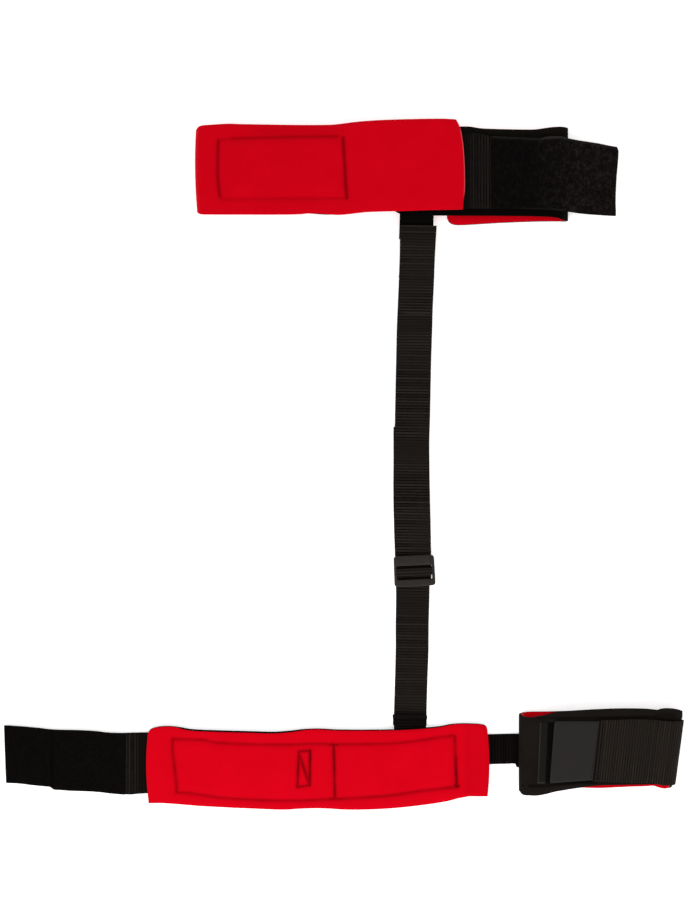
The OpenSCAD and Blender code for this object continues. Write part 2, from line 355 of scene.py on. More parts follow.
def noiseNode(tree, vector, scale, detail=2.0, roughness=0.5):
    node = tree.nodes.new("ShaderNodeTexNoise")
    node.inputs["Detail"].default_value = detail
    node.inputs["Roughness"].default_value = roughness
    tree.links.new(vector, node.inputs["Vector"])
    if isinstance(scale, (int, float)):
        node.inputs["Scale"].default_value = scale
    else:
        tree.links.new(scale, node.inputs["Scale"])
    return node.outputs["Fac"]


def makeRibGroup():
    # cross ribs of webbing and elastic, with the cords that run along it
    group, entry, leave = newGroup(
        "crossRibs",
        {"Rib pitch": 0.0021, "Cord pitch": 0.0011, "Cord share": 0.35},
        ["Height", "Groove", "Rib change", "Contrast"],
    )
    split = group.nodes.new("ShaderNodeSeparateXYZ")
    group.links.new(entry.outputs["Vector"], split.inputs[0])
    wobble = noiseNode(group, entry.outputs["Vector"], 120.0, 1.0)
    drift = times(group, minus(group, wobble, 0.5), 0.16)
    row = plus(group, over(group, split.outputs["X"], entry.outputs["Rib pitch"]), drift)
    rib = mathNode("ABSOLUTE", group, mathNode("COSINE", group, times(group, row, math.pi)))
    ribNumber = mathNode("FLOOR", group, plus(group, row, 0.5))
    odd = times(group, mathNode("MODULO", group, ribNumber, 2.0), 0.5)
    cordRow = plus(group, over(group, split.outputs["Y"], entry.outputs["Cord pitch"]), odd)
    cord = mathNode("ABSOLUTE", group, mathNode("COSINE", group, times(group, cordRow, math.pi)))
    ribTop = power(group, rib, 0.6)
    cordTop = power(group, cord, 0.7)
    share = times(group, cordTop, entry.outputs["Cord share"])
    rest = minus(group, 1.0, entry.outputs["Cord share"])
    height = times(group, ribTop, plus(group, share, rest))
    group.links.new(height, leave.inputs["Height"])
    group.links.new(minus(group, 1.0, height, clamp=True), leave.inputs["Groove"])
    # no two ribs catch the light quite alike, and the weave is tighter in places
    each = group.nodes.new("ShaderNodeTexWhiteNoise")
    each.noise_dimensions = "1D"
    group.links.new(ribNumber, each.inputs["W"])
    streak = noiseNode(group, entry.outputs["Vector"], 260.0, 2.0)
    change = times(group, plus(group, each.outputs["Value"], streak), 0.5)
    group.links.new(change, leave.inputs["Rib change"])
    calm = group.nodes.new("ShaderNodeMapRange")
    calm.inputs["From Min"].default_value = 0.42
    calm.inputs["From Max"].default_value = 0.56
    calm.inputs["To Min"].default_value = 0.4
    group.links.new(noiseNode(group, entry.outputs["Vector"], 32.0, 2.0), calm.inputs["Value"])
    group.links.new(calm.outputs[0], leave.inputs["Contrast"])
    return group


def makeKnitGroup():
    # fine jersey face of laminated neoprene
    group, entry, leave = newGroup("jerseyFace", {"Loop size": 0.0007}, ["Height", "Tone"])
    split = group.nodes.new("ShaderNodeSeparateXYZ")
    group.links.new(entry.outputs["Vector"], split.inputs[0])
    column = over(group, split.outputs["Y"], entry.outputs["Loop size"])
    rowSize = times(group, entry.outputs["Loop size"], 0.8)
    row = over(group, split.outputs["X"], rowSize)
    lean = mathNode("PINGPONG", group, column, 0.5)
    across = mathNode("ABSOLUTE", group, mathNode("SINE", group, times(group, column, math.pi)))
    alongRow = mathNode("ABSOLUTE", group,
                        mathNode("SINE", group, times(group, plus(group, row, lean), math.pi)))
    loops = times(group, power(group, across, 0.5), power(group, alongRow, 0.6))
    group.links.new(loops, leave.inputs["Height"])
    broad = noiseNode(group, entry.outputs["Vector"], 45.0, 3.0, 0.6)
    group.links.new(broad, leave.inputs["Tone"])
    return group


def makePileGroup():
    # tangled loops and hooks, in small tufts that lie a little upright
    group, entry, leave = newGroup(
        "tangledPile", {"Tuft size": 0.0022, "Clump size": 0.005}, ["Height", "Tone", "Clumps"],
    )
    stretch = group.nodes.new("ShaderNodeMapping")
    stretch.inputs["Scale"].default_value = (1.0, 0.6, 1.0)
    group.links.new(entry.outputs["Vector"], stretch.inputs["Vector"])
    tuftScale = over(group, 1.0, entry.outputs["Tuft size"])
    tufts = noiseNode(group, stretch.outputs[0], tuftScale, 4.0, 0.75)
    fineScale = times(group, tuftScale, 5.0)
    cells = group.nodes.new("ShaderNodeTexVoronoi")
    cells.feature = "SMOOTH_F1"
    group.links.new(entry.outputs["Vector"], cells.inputs["Vector"])
    group.links.new(fineScale, cells.inputs["Scale"])
    fine = minus(group, 1.0, cells.outputs["Distance"], clamp=True)
    height = plus(group, times(group, tufts, 0.7), times(group, fine, 0.3))
    group.links.new(height, leave.inputs["Height"])
    group.links.new(times(group, tufts, fine), leave.inputs["Tone"])
    clumpScale = over(group, 1.0, entry.outputs["Clump size"])
    group.links.new(noiseNode(group, stretch.outputs[0], clumpScale, 3.0, 0.7), leave.inputs["Clumps"])
    return group


def makeLintGroup():
    # pale specks of lint and a little handling wear
    group, entry, leave = newGroup("lintAndWear", {"Lint": 0.5, "Speck size": 0.0012}, ["Mask"])
    scale = over(group, 1.0, entry.outputs["Speck size"])
    specks = noiseNode(group, entry.outputs["Vector"], scale, 2.0, 0.6)
    bare = minus(group, specks, 0.66, clamp=True)
    patches = noiseNode(group, entry.outputs["Vector"], 40.0, 2.0)
    spread = times(group, times(group, bare, 6.0), patches, clamp=True)
    group.links.new(times(group, spread, entry.outputs["Lint"]), leave.inputs["Mask"])
    return group


ribGroup, knitGroup = makeRibGroup(), makeKnitGroup()
pileGroup, lintGroup = makePileGroup(), makeLintGroup()


class Finish:
    # one material under construction
    def __init__(self, name, roughness, shine, sheen=0.0, tint=(1, 1, 1)):
        self.material = bpy.data.materials.new(name)
        self.material.use_nodes = True
        self.tree = self.material.node_tree
        self.shader = self.tree.nodes["Principled BSDF"]
        self.shader.inputs["Roughness"].default_value = roughness
        self.shader.inputs["Specular IOR Level"].default_value = shine
        self.shader.inputs["Specular Tint"].default_value = (*tint, 1)
        self.shader.inputs["Sheen Weight"].default_value = sheen
        self.shader.inputs["Sheen Roughness"].default_value = 0.5
        self.shader.inputs["Sheen Tint"].default_value = (*tint, 1)
        self.place = self.tree.nodes.new("ShaderNodeTexCoord")

    def group(self, group, vector, **values):
        node = self.tree.nodes.new("ShaderNodeGroup")
        node.node_tree = group
        self.tree.links.new(vector, node.inputs["Vector"])
        for key, value in values.items():
            node.inputs[key.replace("_", " ")].default_value = value
        return node

    def mark(self, name):
        node = self.tree.nodes.new("ShaderNodeAttribute")
        node.attribute_name = name
        return node.outputs["Fac"]

    def blendColour(self, factor, first, second):
        node = self.tree.nodes.new("ShaderNodeMix")
        node.data_type = "RGBA"
        self.tree.links.new(factor, node.inputs[0])
        for index, value in ((6, first), (7, second)):
            if isinstance(value, tuple):
                node.inputs[index].default_value = (*value, 1)
            else:
                self.tree.links.new(value, node.inputs[index])
        return node.outputs[2]

    def scaleRange(self, value, low, high, fromLow=0.0, fromHigh=1.0):
        node = self.tree.nodes.new("ShaderNodeMapRange")
        node.inputs["From Min"].default_value = fromLow
        node.inputs["From Max"].default_value = fromHigh
        node.inputs["To Min"].default_value = low
        node.inputs["To Max"].default_value = high
        self.tree.links.new(value, node.inputs["Value"])
        return node.outputs[0]

    def bump(self, height, distance, strength=1.0, under=None):
        node = self.tree.nodes.new("ShaderNodeBump")
        node.inputs["Distance"].default_value = distance
        node.inputs["Strength"].default_value = strength
        self.tree.links.new(height, node.inputs["Height"])
        if under is not None:
            self.tree.links.new(under, node.inputs["Normal"])
        return node.outputs["Normal"]

    def finish(self, colour, normal=None, roughness=None):
        self.tree.links.new(colour, self.shader.inputs["Base Color"])
        if normal is not None:
            self.tree.links.new(normal, self.shader.inputs["Normal"])
        if roughness is not None:
            self.tree.links.new(roughness, self.shader.inputs["Roughness"])
        return self.material


def neopreneFinish(name, tones, settings):
    look = Finish(name, 0.7, settings["shine"], settings["sheen"], settings["tint"])
    knit = look.group(knitGroup, look.place.outputs["UV"], Loop_size=settings["loop"])
    lint = look.group(lintGroup, look.place.outputs["Object"], Lint=settings["lint"])
    spread = look.scaleRange(knit.outputs["Tone"], 0, 1, 0.3, 0.7)
    base = look.blendColour(spread, tones["low"], tones["high"])
    # painted shade between the knit's loops
    weaveShare = look.scaleRange(knit.outputs["Height"], settings["weaveShade"], 0)
    hollowShade = look.blendColour(weaveShare, base, tones["weave"])
    # painted shade in the seam grooves and where the cloth lies in shadow
    shadedSeams = look.blendColour(look.mark("paintedShade"), hollowShade, tones["seam"])
    # a painted highlight along the cut edge
    cut = look.blendColour(look.mark("paintedHighlight"), shadedSeams, tones["cut"])
    colour = look.blendColour(lint.outputs["Mask"], cut, tones["lint"])
    normal = look.bump(knit.outputs["Height"], settings["depth"], 0.6)
    return look.finish(colour, normal, look.scaleRange(knit.outputs["Tone"], *settings["rough"]))


redSkin = neopreneFinish(
    "redNeopreneSkin",
    {"low": (0.528, 0.0003, 0.0060), "high": (0.568, 0.0005, 0.0076), "weave": (0.41, 0.0002, 0.0045),
     "seam": (0.075, 0.0001, 0.0008), "cut": (0.66, 0.16, 0.18), "lint": (0.70, 0.06, 0.07)},
    {"shine": 0.14, "sheen": 0.05, "tint": (1, 0.02, 0.05), "loop": 0.0007, "lint": 0.04,
     "weaveShade": 0.25, "depth": 0.00006, "rough": (0.68, 0.8)},
)
blackFace = {"shine": 0.03, "sheen": 0.004, "tint": (1, 0.92, 0.85), "loop": 0.0008, "weaveShade": 0.4,
             "depth": 0.00008, "rough": (0.74, 0.9)}
blackSide = neopreneFinish(
    "blackNeopreneSide",
    {"low": (0.0042, 0.0034, 0.0026), "high": (0.0066, 0.0052, 0.0041), "weave": (0.0022, 0.0018, 0.0014),
     "seam": (0.0010, 0.0008, 0.0007), "cut": (0.020, 0.018, 0.017), "lint": (0.035, 0.031, 0.028)},
    {**blackFace, "lint": 0.2},
)
# a paler copy of the black neoprene, for the side cuff
blackPaler = neopreneFinish(
    "blackNeoprenePaler",
    {"low": (0.0064, 0.0051, 0.0042), "high": (0.0100, 0.0081, 0.0067), "weave": (0.0036, 0.0029, 0.0024),
     "seam": (0.0014, 0.0011, 0.0010), "cut": (0.026, 0.023, 0.021), "lint": (0.040, 0.036, 0.032)},
    {**blackFace, "lint": 0.25},
)


def ribbedFinish(name, tones, settings):
    look = Finish(name, 0.8, settings["shine"], settings["sheen"], (1, 0.95, 0.9))
    ribs = look.group(ribGroup, look.place.outputs["UV"], Rib_pitch=settings["pitch"],
                      Cord_pitch=settings["cord"], Cord_share=settings["cordShare"])
    lint = look.group(lintGroup, look.place.outputs["Object"], Lint=settings["lint"])
    # painted light on the rib crests and painted shade in the grooves between them
    catch = look.scaleRange(ribs.outputs["Rib change"], 1 - settings["vary"], 1 + settings["vary"], 0.2, 0.8)
    narrow = power(look.tree, ribs.outputs["Height"], settings["narrow"])
    lit = minus(look.tree, times(look.tree, narrow, catch), 0.4)
    # where the cloth is pulled flat the ribs hardly show, and painted shade darkens it
    pulled = look.mark("paintedShade")
    contrast = times(look.tree, ribs.outputs["Contrast"], look.scaleRange(pulled, 1.0, 0.1))
    level = mathNode("MULTIPLY_ADD", look.tree, lit, contrast, 0.4, clamp=True)
    factor = times(look.tree, level, look.scaleRange(pulled, 1.0, settings["pulled"]))
    ribLightAndShade = look.blendColour(factor, tones["groove"], tones["top"])
    # a painted highlight along folds, a crease and the strap's end
    worn = look.blendColour(look.mark("paintedHighlight"), ribLightAndShade, tones["worn"])
    colour = look.blendColour(lint.outputs["Mask"], worn, tones["lint"])
    normal = look.bump(ribs.outputs["Height"], settings["depth"], 0.9)
    return look.finish(colour, normal, look.scaleRange(ribs.outputs["Groove"], *settings["rough"]))


ribbedCloth = {"shine": 0.035, "sheen": 0.004, "cordShare": 0.5, "vary": 0.6, "depth": 0.0002,
               "rough": (0.55, 0.85)}
webbingFinish = ribbedFinish(
    "ribbedWebbing",
    {"groove": (0.0012, 0.0008, 0.0007), "top": (0.0240, 0.0192, 0.0162), "worn": (0.030, 0.025, 0.021),
     "lint": (0.05, 0.042, 0.036)},
    {**ribbedCloth, "pitch": 0.00206, "cord": 0.0012, "narrow": 2.8, "pulled": 0.72, "lint": 0.22},
)
# a darker copy of the webbing finish; on the stub under the flap the darkness stands for painted shadow
darkWebbing = ribbedFinish(
    "ribbedWebbingDark",
    {"groove": (0.0008, 0.0005, 0.0005), "top": (0.0048, 0.0030, 0.0030), "worn": (0.012, 0.010, 0.009),
     "lint": (0.02, 0.017, 0.015)},
    {**ribbedCloth, "shine": 0.02, "sheen": 0.0, "pitch": 0.00206, "cord": 0.0012, "cordShare": 0.4,
     "narrow": 1.8, "pulled": 0.6, "lint": 0.12, "depth": 0.00014, "rough": (0.6, 0.88)},
)
elasticFinish = ribbedFinish(
    "ribbedElastic",
    {"groove": (0.0008, 0.0006, 0.0005), "top": (0.0135, 0.0108, 0.0090), "worn": (0.028, 0.024, 0.020),
     "lint": (0.045, 0.038, 0.032)},
    {**ribbedCloth, "pitch": 0.00205, "cord": 0.0010, "narrow": 2.2, "vary": 0.7, "pulled": 0.35, "lint": 0.2,
     "depth": 0.00022},
)
paleElastic = ribbedFinish(
    "ribbedElasticWide",
    {"groove": (0.0018, 0.0013, 0.0010), "top": (0.0250, 0.0195, 0.0158), "worn": (0.034, 0.029, 0.024),
     "lint": (0.06, 0.052, 0.044)},
    {**ribbedCloth, "shine": 0.04, "pitch": 0.00188, "cord": 0.0014, "cordShare": 0.85, "narrow": 1.6,
     "vary": 0.35, "pulled": 0.2, "lint": 0.3},
)


def pileFinish(name, tones, settings):
    look = Finish(name, 0.9, settings["shine"], settings["sheen"], (1, 0.94, 0.92))
    pile = look.group(pileGroup, look.place.outputs["UV"], Tuft_size=settings["tuft"],
                      Clump_size=settings["clump"])
    lint = look.group(lintGroup, look.place.outputs["Object"], Lint=settings["lint"], Speck_size=0.0008)
    # the tufts stand in clumps; painted shade darkens the hollows between them and painted light the tips
    clumps = look.scaleRange(pile.outputs["Clumps"], 0, 1, 0.44, 0.62)
    fineTone = look.scaleRange(pile.outputs["Tone"], 0, 1, 0.18, 0.52)
    tone = times(look.tree, fineTone, look.scaleRange(clumps, 1 - settings["mottle"], 1))
    # the colour grows paler towards one end
    split = look.tree.nodes.new("ShaderNodeSeparateXYZ")
    look.tree.links.new(look.place.outputs["UV"], split.inputs[0])
    endRamp = look.scaleRange(split.outputs["X"], *settings["endRamp"])
    base = look.blendColour(times(look.tree, tone, endRamp, clamp=True), tones["hollowShade"], tones["tip"])
    # a painted highlight along the edges
    rimHighlight = look.blendColour(look.mark("paintedHighlight"), base, tones["rimHighlight"])
    # painted shade in the crease
    paintedCreaseShade = look.blendColour(look.mark("paintedShade"), rimHighlight, tuple(c * 0.5 for c in tones["hollowShade"]))
    colour = look.blendColour(lint.outputs["Mask"], paintedCreaseShade, tones["lint"])
    normal = look.bump(pile.outputs["Height"], settings["depth"], settings["strength"])
    return look.finish(colour, normal, look.scaleRange(pile.outputs["Height"], *settings["rough"]))


hookFuzz = pileFinish(
    "hookAndLoopFuzz",
    {"hollowShade": (0.0015, 0.0011, 0.0011), "tip": (0.0168, 0.0130, 0.0123), "rimHighlight": (0.026, 0.023, 0.020),
     "lint": (0.04, 0.035, 0.033)},
    {"shine": 0.02, "sheen": 0.004, "tuft": 0.0024, "clump": 0.0038, "mottle": 0.66, "lint": 0.3,
     "depth": 0.0005, "strength": 0.8, "rough": (0.75, 0.95), "endRamp": (0.42, 1.8, 0.132, 0.168)},
)
hookMatt = pileFinish(
    "hookMatt",
    {"hollowShade": (0.0014, 0.0011, 0.0010), "tip": (0.0056, 0.0045, 0.0038), "rimHighlight": (0.030, 0.030, 0.027),
     "lint": (0.022, 0.020, 0.018)},
    {"shine": 0.02, "sheen": 0.003, "tuft": 0.0016, "clump": 0.006, "mottle": 0.35, "lint": 0.14,
     "depth": 0.0003, "strength": 0.6, "rough": (0.8, 0.95), "endRamp": (1.0, 1.0, 0, 1)},
)
smoothTab = pileFinish(
    "smoothHookTab",
    {"hollowShade": (0.0104, 0.0090, 0.0086), "tip": (0.0146, 0.0128, 0.0123), "rimHighlight": (0.026, 0.024, 0.023),
     "lint": (0.04, 0.036, 0.034)},
    {"shine": 0.12, "sheen": 0.0, "tuft": 0.0011, "clump": 0.012, "mottle": 0.3, "lint": 0.05,
     "depth": 0.00007, "strength": 0.5, "rough": (0.5, 0.62), "endRamp": (1.0, 1.0, 0, 1)},
)


def threadFinish(name, tones):
    look = Finish(name, 0.7, 0.02, 0.0, (1, 0.2, 0.2))
    twist = look.group(ribGroup, look.place.outputs["Object"], Rib_pitch=0.0006, Cord_pitch=0.0006,
                       Cord_share=0.2)
    colour = look.blendColour(twist.outputs["Height"], tones[0], tones[1])
    return look.finish(colour, look.bump(twist.outputs["Height"], 0.00004, 0.6), None)


redThread = threadFinish("redThread", [(0.26, 0.0003, 0.003), (0.42, 0.0005, 0.005)])
wineThread = threadFinish("wineThread", [(0.22, 0.0003, 0.0025), (0.38, 0.0005, 0.0045)])
darkThread = threadFinish("darkThread", [(0.0010, 0.0008, 0.0007), (0.0045, 0.0036, 0.0032)])
tackThread = threadFinish("tackThread", [(0.06, 0.0002, 0.0008), (0.15, 0.0004, 0.0018)])


def plasticFinish():
    look = Finish("mouldedSlider", 0.42, 0.2, 0.0, (1, 0.93, 0.88))
    objectPlace = look.place.outputs["Object"]
    grain = noiseNode(look.tree, objectPlace, 2600.0, 2.0)
    broad = noiseNode(look.tree, objectPlace, 130.0, 3.0, 0.6)
    scuff = look.group(lintGroup, objectPlace, Lint=0.5, Speck_size=0.0006)
    base = look.blendColour(look.scaleRange(broad, 0, 1, 0.3, 0.7), (0.0100, 0.0080, 0.0068),
                            (0.0158, 0.0130, 0.0112))
    colour = look.blendColour(scuff.outputs["Mask"], base, (0.06, 0.054, 0.048))
    normal = look.bump(grain, 0.00004, 0.5)
    return look.finish(colour, normal, look.scaleRange(broad, 0.34, 0.48))


sliderPlastic = plasticFinish()


def floorFinish():
    look = Finish("paleFloor", 0.9, 0.05)
    tone = noiseNode(look.tree, look.place.outputs["Object"], 3.0, 1.0)
    colour = look.blendColour(tone, studio["floorColour"], tuple(c * 1.01 for c in studio["floorColour"]))
    # lit from below as a light table is, so shadows on it stay faint
    look.shader.inputs["Emission Color"].default_value = (1, 1, 1, 1)
    look.shader.inputs["Emission Strength"].default_value = studio["floorGlow"]
    return look.finish(colour)


pickNothing()
bpy.ops.mesh.primitive_plane_add(size=8, location=(0, 0, -0.0002))
floor = bpy.context.object
floor.name = "studioFloor"
floor.data.materials.append(floorFinish())
print("finishes made")


# upper cuff: the red-faced front layer with its left fold

upperFlap = {
    "foldX": -101.9,
    "foldRadius": 4.5,
    "foldHeight": 10.5,
    "top": 15.0,
    "frontEnd": 85.0,
    "skin": 1.2,
    "outer": 1.8,
    "low": edgeThrough([
        (-106.4, 178.7), (-105.4, 177.9), (-103.4, 177.5), (-95, 177.3), (-75, 177.3), (-45, 177.3),
        (-31, 177.6), (-24, 178.3), (-17, 178.1), (-10, 177.5), (-4, 177.1), (2, 177.5), (8, 178.2),
        (17, 179.1), (40, 179.8), (61, 180.5), (86, 181.0),
    ]),
    "high": edgeThrough([
        (-106.4, 238.6), (-105, 239.9), (-102.4, 240.8), (-95, 241.5), (-82, 242.2), (-74, 241.9),
        (-31, 241.3), (-10, 241.4), (-3, 242.0), (3, 242.8), (11.5, 243.8), (26, 244.8), (49, 245.5),
        (73, 245.8), (80, 245.6), (86, 245.3),
    ]),
    "end": edgeThrough([
        (181, -0.4), (188, 0.2), (195, 1.0), (205, 1.1), (216, 0.7), (227, -0.1), (237, -1.7), (241, -3.0),
        (245, -5.0),
    ]),
    "seams": [([(-87.5, 188.6), (-50, 189.0), (0.6, 189.2)], 0.16),
              ([(1.9, 189.4), (1.3, 198), (0.3, 216), (-0.7, 231.8)], 0.62),
              ([(-5, 233.0), (-30, 232.9), (-62, 232.2), (-80, 231.6)], 0.34),
              ([(-80, 231.6), (-88.6, 230.8)], 0.16),
              ([(-89.7, 230.2), (-90.1, 206), (-89.6, 198), (-88.9, 190.6)], 0.52)],
    "seamWidth": 1.3,
    "grooveDepth": 0.6,
    "pillow": 0.55,
}


upperFlapSeams = sewnRuns(upperFlap["seams"])


def upperFlapRelief(x, y, part):
    if part == 0:
        return 0
    d = upperFlap
    away, mark = seamPull(x, y, upperFlapSeams, 1.9)
    inside = -89.6 < x < 1.4 and 189 < y < 232.6
    pillow = d["pillow"] * ease(away / 8) if inside else 0.2 * ease(away / 6)
    pucker = 0.05 * math.cos((x + y) * 2.1) * bell(away, 2.4)
    roll = -0.55 * ease(1 - min(y - d["low"](x), d["high"](x) - y) / 2.6)
    endRoll = -0.5 * ease(1 - (d["frontEnd"] - x) / 2.2)
    wave = 0.5 * cloud(x, y, 46, 1) * ease((x + 96) / 30)
    calm = ease((x + 101.5) / 5)
    groove = d["grooveDepth"] * (0.5 + mark) * bell(away, 1.6)
    return (pillow - groove + pucker + wave + roll + endRoll) * calm


def upperFlapShift(x, y, part):
    # the cut end bows out in the middle, and so does the fold
    t = (y - 209) / 31
    return upperFlap["end"](y) * ease((x - 40) / 45) + (1.15 * t * t - 0.45 * t + 0.2) * ease((-74 - x) / 24)


def upperFlapMarks(x, y, part, u):
    if part == 0:
        return 0, 0
    flatLength = 201
    # painted shade along the seam grooves, fainter around them and in a band above the top seam; a painted
    # highlight on the cut end
    _, mark = seamPull(x, y, upperFlapSeams, upperFlap["seamWidth"])
    _, halo = seamPull(x, y, upperFlapSeams, 4.5)
    above = 0.13 * bell(y - 236.5, 4.5) * ease((x + 88) / 40) * ease((6 - x) / 16)
    cut = 0.8 * ease(1 - (1 - u) * flatLength / 0.8) * ease((y - 188) / 8) * ease((242 - y) / 8)
    return min(1, mark + 0.12 * halo + above + 0.04 * cloud(x, y, 12, 2)), cut


upperFlapPath = [
    roundTurn((upperFlap["foldX"], upperFlap["foldHeight"]), upperFlap["foldRadius"], -90, -270),
    straightRun((upperFlap["foldX"], upperFlap["top"]), (upperFlap["frontEnd"], upperFlap["top"])),
]
upperFlapTuck = {"share": 0.13, "top": upperFlap["top"]}
upperFlapBend = {
    "from": "upper_strap", "to": "upper_front", "start": (-0.1020, 0.21, 0.015),
    "end": (-0.0955, 0.21, 0.015),
}

flapSkin = layCloth(
    "upperFlapSkin", 290, 100,
    bandPlace(upperFlapPath, lambda x, part: upperFlap["low"](x), lambda x, part: upperFlap["high"](x),
              0, upperFlapRelief, upperFlapShift, upperFlapMarks, upperFlapTuck),
    upperFlap["skin"], 0.45,
)
finishCloth(flapSkin, redSkin, ["upper_front_skin", "upper_left_fold_skin"],
            upperFlapBend)


def upperLiningLow(x, part):
    # the lining slips out a little from under the lower edge
    return upperFlap["low"](x) + 0.4 - 0.8 * bell(x + 17, 9)


def upperLiningRelief(x, y, part):
    # the lining follows only the skin's hollows, and those softly
    return min(0, upperFlapRelief(x, y, part)) * 0.3


flapLining = layCloth(
    "upperFlapLining", 150, 40,
    bandPlace(upperFlapPath, upperLiningLow, lambda x, part: upperFlap["high"](x) - 0.35,
              -1.22, upperLiningRelief, upperFlapShift, None, upperFlapTuck),
    upperFlap["outer"] - 0.02, 0.4,
)
finishCloth(flapLining, blackSide, ["upper_front_outer", "upper_left_fold_outer"],
            upperFlapBend)
print("upper flap laid")


# upper cuff: the middle layer, the right fold and the layer under it

upperSleeve = {
    "rightX": 155.8,
    "underEnd": 73.8,
    "middleHeight": 7.2,
    "foldHeight": 4.5,
    "foldRadius": 2.7,
    "underHeight": 1.8,
    "middleLow": edgeThrough([
        (-102, 179.4), (0, 179.6), (18, 181), (34, 181), (42, 178), (84, 177.2), (118, 177.0), (140, 176.6),
        (150, 176.0), (154.3, 175.0), (156.4, 173.9), (160.5, 173.9),
    ]),
    "middleHigh": edgeThrough([
        (-102, 239.4), (60, 240.6), (84, 241.1), (90, 241.0), (97, 239.9), (104, 239.5), (118, 239.1),
        (133, 238.9), (137, 239.1), (143.4, 239.9), (149, 240.6), (155.5, 240.8), (158.4, 240.2),
        (160.5, 238.4),
    ]),
    "underLow": edgeThrough([
        (73.6, 177), (75.4, 173.2), (79.5, 171.5), (84.5, 171.3), (94, 171.8), (105, 172.5), (119, 173.2),
        (140, 173.9), (155, 174.0), (160.5, 173.9),
    ]),
    "underHigh": 237.0,
}
upperSleevePath = [
    straightRun((upperFlap["foldX"], upperSleeve["middleHeight"]),
                (upperSleeve["rightX"], upperSleeve["middleHeight"])),
    roundTurn((upperSleeve["rightX"], upperSleeve["foldHeight"]), upperSleeve["foldRadius"], 90, -90),
    straightRun((upperSleeve["rightX"], upperSleeve["underHeight"]),
                (upperSleeve["underEnd"], upperSleeve["underHeight"])),
]


def sleeveLow(x, part):
    return upperSleeve["underLow" if part == 2 else "middleLow"](x)


def sleeveHigh(x, part):
    d = upperSleeve
    return mix(d["underHigh"], 240.4, ease((x - 140) / 16)) if part == 2 else d["middleHigh"](x)


def sleeveRelief(x, y, part):
    if part == 1:
        return 0.1
    if part == 0:
        edge = ease(1 - min(y - sleeveLow(x, 0), sleeveHigh(x, 0) - y) / 2.4)
        swell = 0.7 * ease((x - 134) / 12) * ease((y - 232) / 5)
        dip = -0.35 * bell(x - 137 - (y - 238) * 0.8, 3.5) * ease((y - 230) / 5)
        return -0.35 * edge + swell + dip + 0.2 * cloud(x, y, 30, 3)
    return 0


def sleeveMarks(x, y, part, u):
    # the lower rim of the middle layer lies in shade
    return ease(1.15 - (y - sleeveLow(x, 0)) / 9) if part == 0 else 0, 0


sleeveOuter = layCloth(
    "upperSleeveOuter", 260, 48,
    bandPlace(upperSleevePath, sleeveLow, sleeveHigh, 1.8, sleeveRelief, None, sleeveMarks), 1.8, 0.45,
)
finishCloth(sleeveOuter, blackSide,
            ["upper_middle_outer", "upper_right_fold_outer", "upper_under_outer"],
            "upper_strap")
sleeveSkin = layCloth(
    "upperSleeveSkin", 250, 44,
    bandPlace(upperSleevePath, lambda x, part: sleeveLow(x, part) + 0.25, lambda x,
              part: sleeveHigh(x, part) - 0.3),
    1.2, 0.35,
)
finishCloth(sleeveSkin, redSkin,
            ["upper_middle_skin", "upper_right_fold_skin", "upper_under_skin"],
            "upper_strap")
print("upper sleeve laid")


# straps that lie along X: elastics, loop patches and hook faces

def strapPlace(x0, x1, top, low, high, relief=None, slant=None, rimHighlight=None, pulled=None):
    def place(u, v):
        x = mix(x0, x1, u)
        y = mix(low(x), high(x), v)
        # a painted highlight along the edges
        pale = rimHighlight(x, v * (high(x) - low(x)), (1 - v) * (high(x) - low(x))) if rimHighlight else 0
        up = relief(x, y, min(v, 1 - v) * (high(x) - low(x))) if relief else 0
        # flat places also get painted shade
        flat = pulled(x) if pulled else 0
        up *= 1 - 0.8 * flat
        move = slant(x, y) if slant else 0
        return (x + move, y, top + up), x, y, flat, pale

    return place


def ribbedRelief(pitch, height, sag=0.35):
    def relief(x, y, edge):
        rib = ribCrest(x + 0.15 * cloud(x, y, 9, 5), pitch)
        return height * (rib - 1) - sag * ease(1 - edge / 1.1)

    return relief


def pileRelief(size, height, seed, sag=0.3):
    def relief(x, y, edge):
        tangle = cloud(x, y * 0.6, size, seed) + 0.6 * cloud(x, y * 0.6, size * 0.4, seed + 1)
        return height * tangle - sag * ease(1 - edge / 1.2)

    return relief


upperClosure = {
    "rootX": 70.5,
    "elasticEnd": 193.2,
    "hookStart": 105.0,
    "hookEnd": 195.0,
    "ribPitch": 2.05,
    "low": edgeThrough([
        (70, 182.4), (90, 181.9), (129, 181.7), (147, 181.1), (157, 179.9), (168, 178.3), (182, 177.1),
        (195, 176.4),
    ]),
    "elasticHigh": edgeThrough([
        (70, 236.0), (92, 235.7), (98, 235.3), (103, 234), (110, 233), (125, 232.3), (140, 231.8),
        (160, 231.2), (168, 229.9), (182, 227.9), (189, 226.4), (195, 225.2),
    ]),
    "hookHigh": edgeThrough([
        (105, 233.6), (125, 232.6), (139, 232.2), (146, 233.3), (155, 233.3), (160, 232.0), (168, 230.5),
        (182, 228.3), (189, 226.9), (195, 226.0),
    ]),
    "tip": edgeThrough([(176, -1.4), (190, -1.5), (206, -0.8), (219, 0.4), (223.6, 0.4), (226.2, -0.7)]),
    "elasticTop": 12.0,
    "hookTop": 12.95,
}


def upperTipShift(x, y):
    return upperClosure["tip"](y) * ease((x - 180) / 14)


upperClosureBend = {
    "from": "upper_front", "to": "upper_closure", "start": (0.0852, 0.209, 0.012),
    "end": (0.0905, 0.209, 0.012),
}
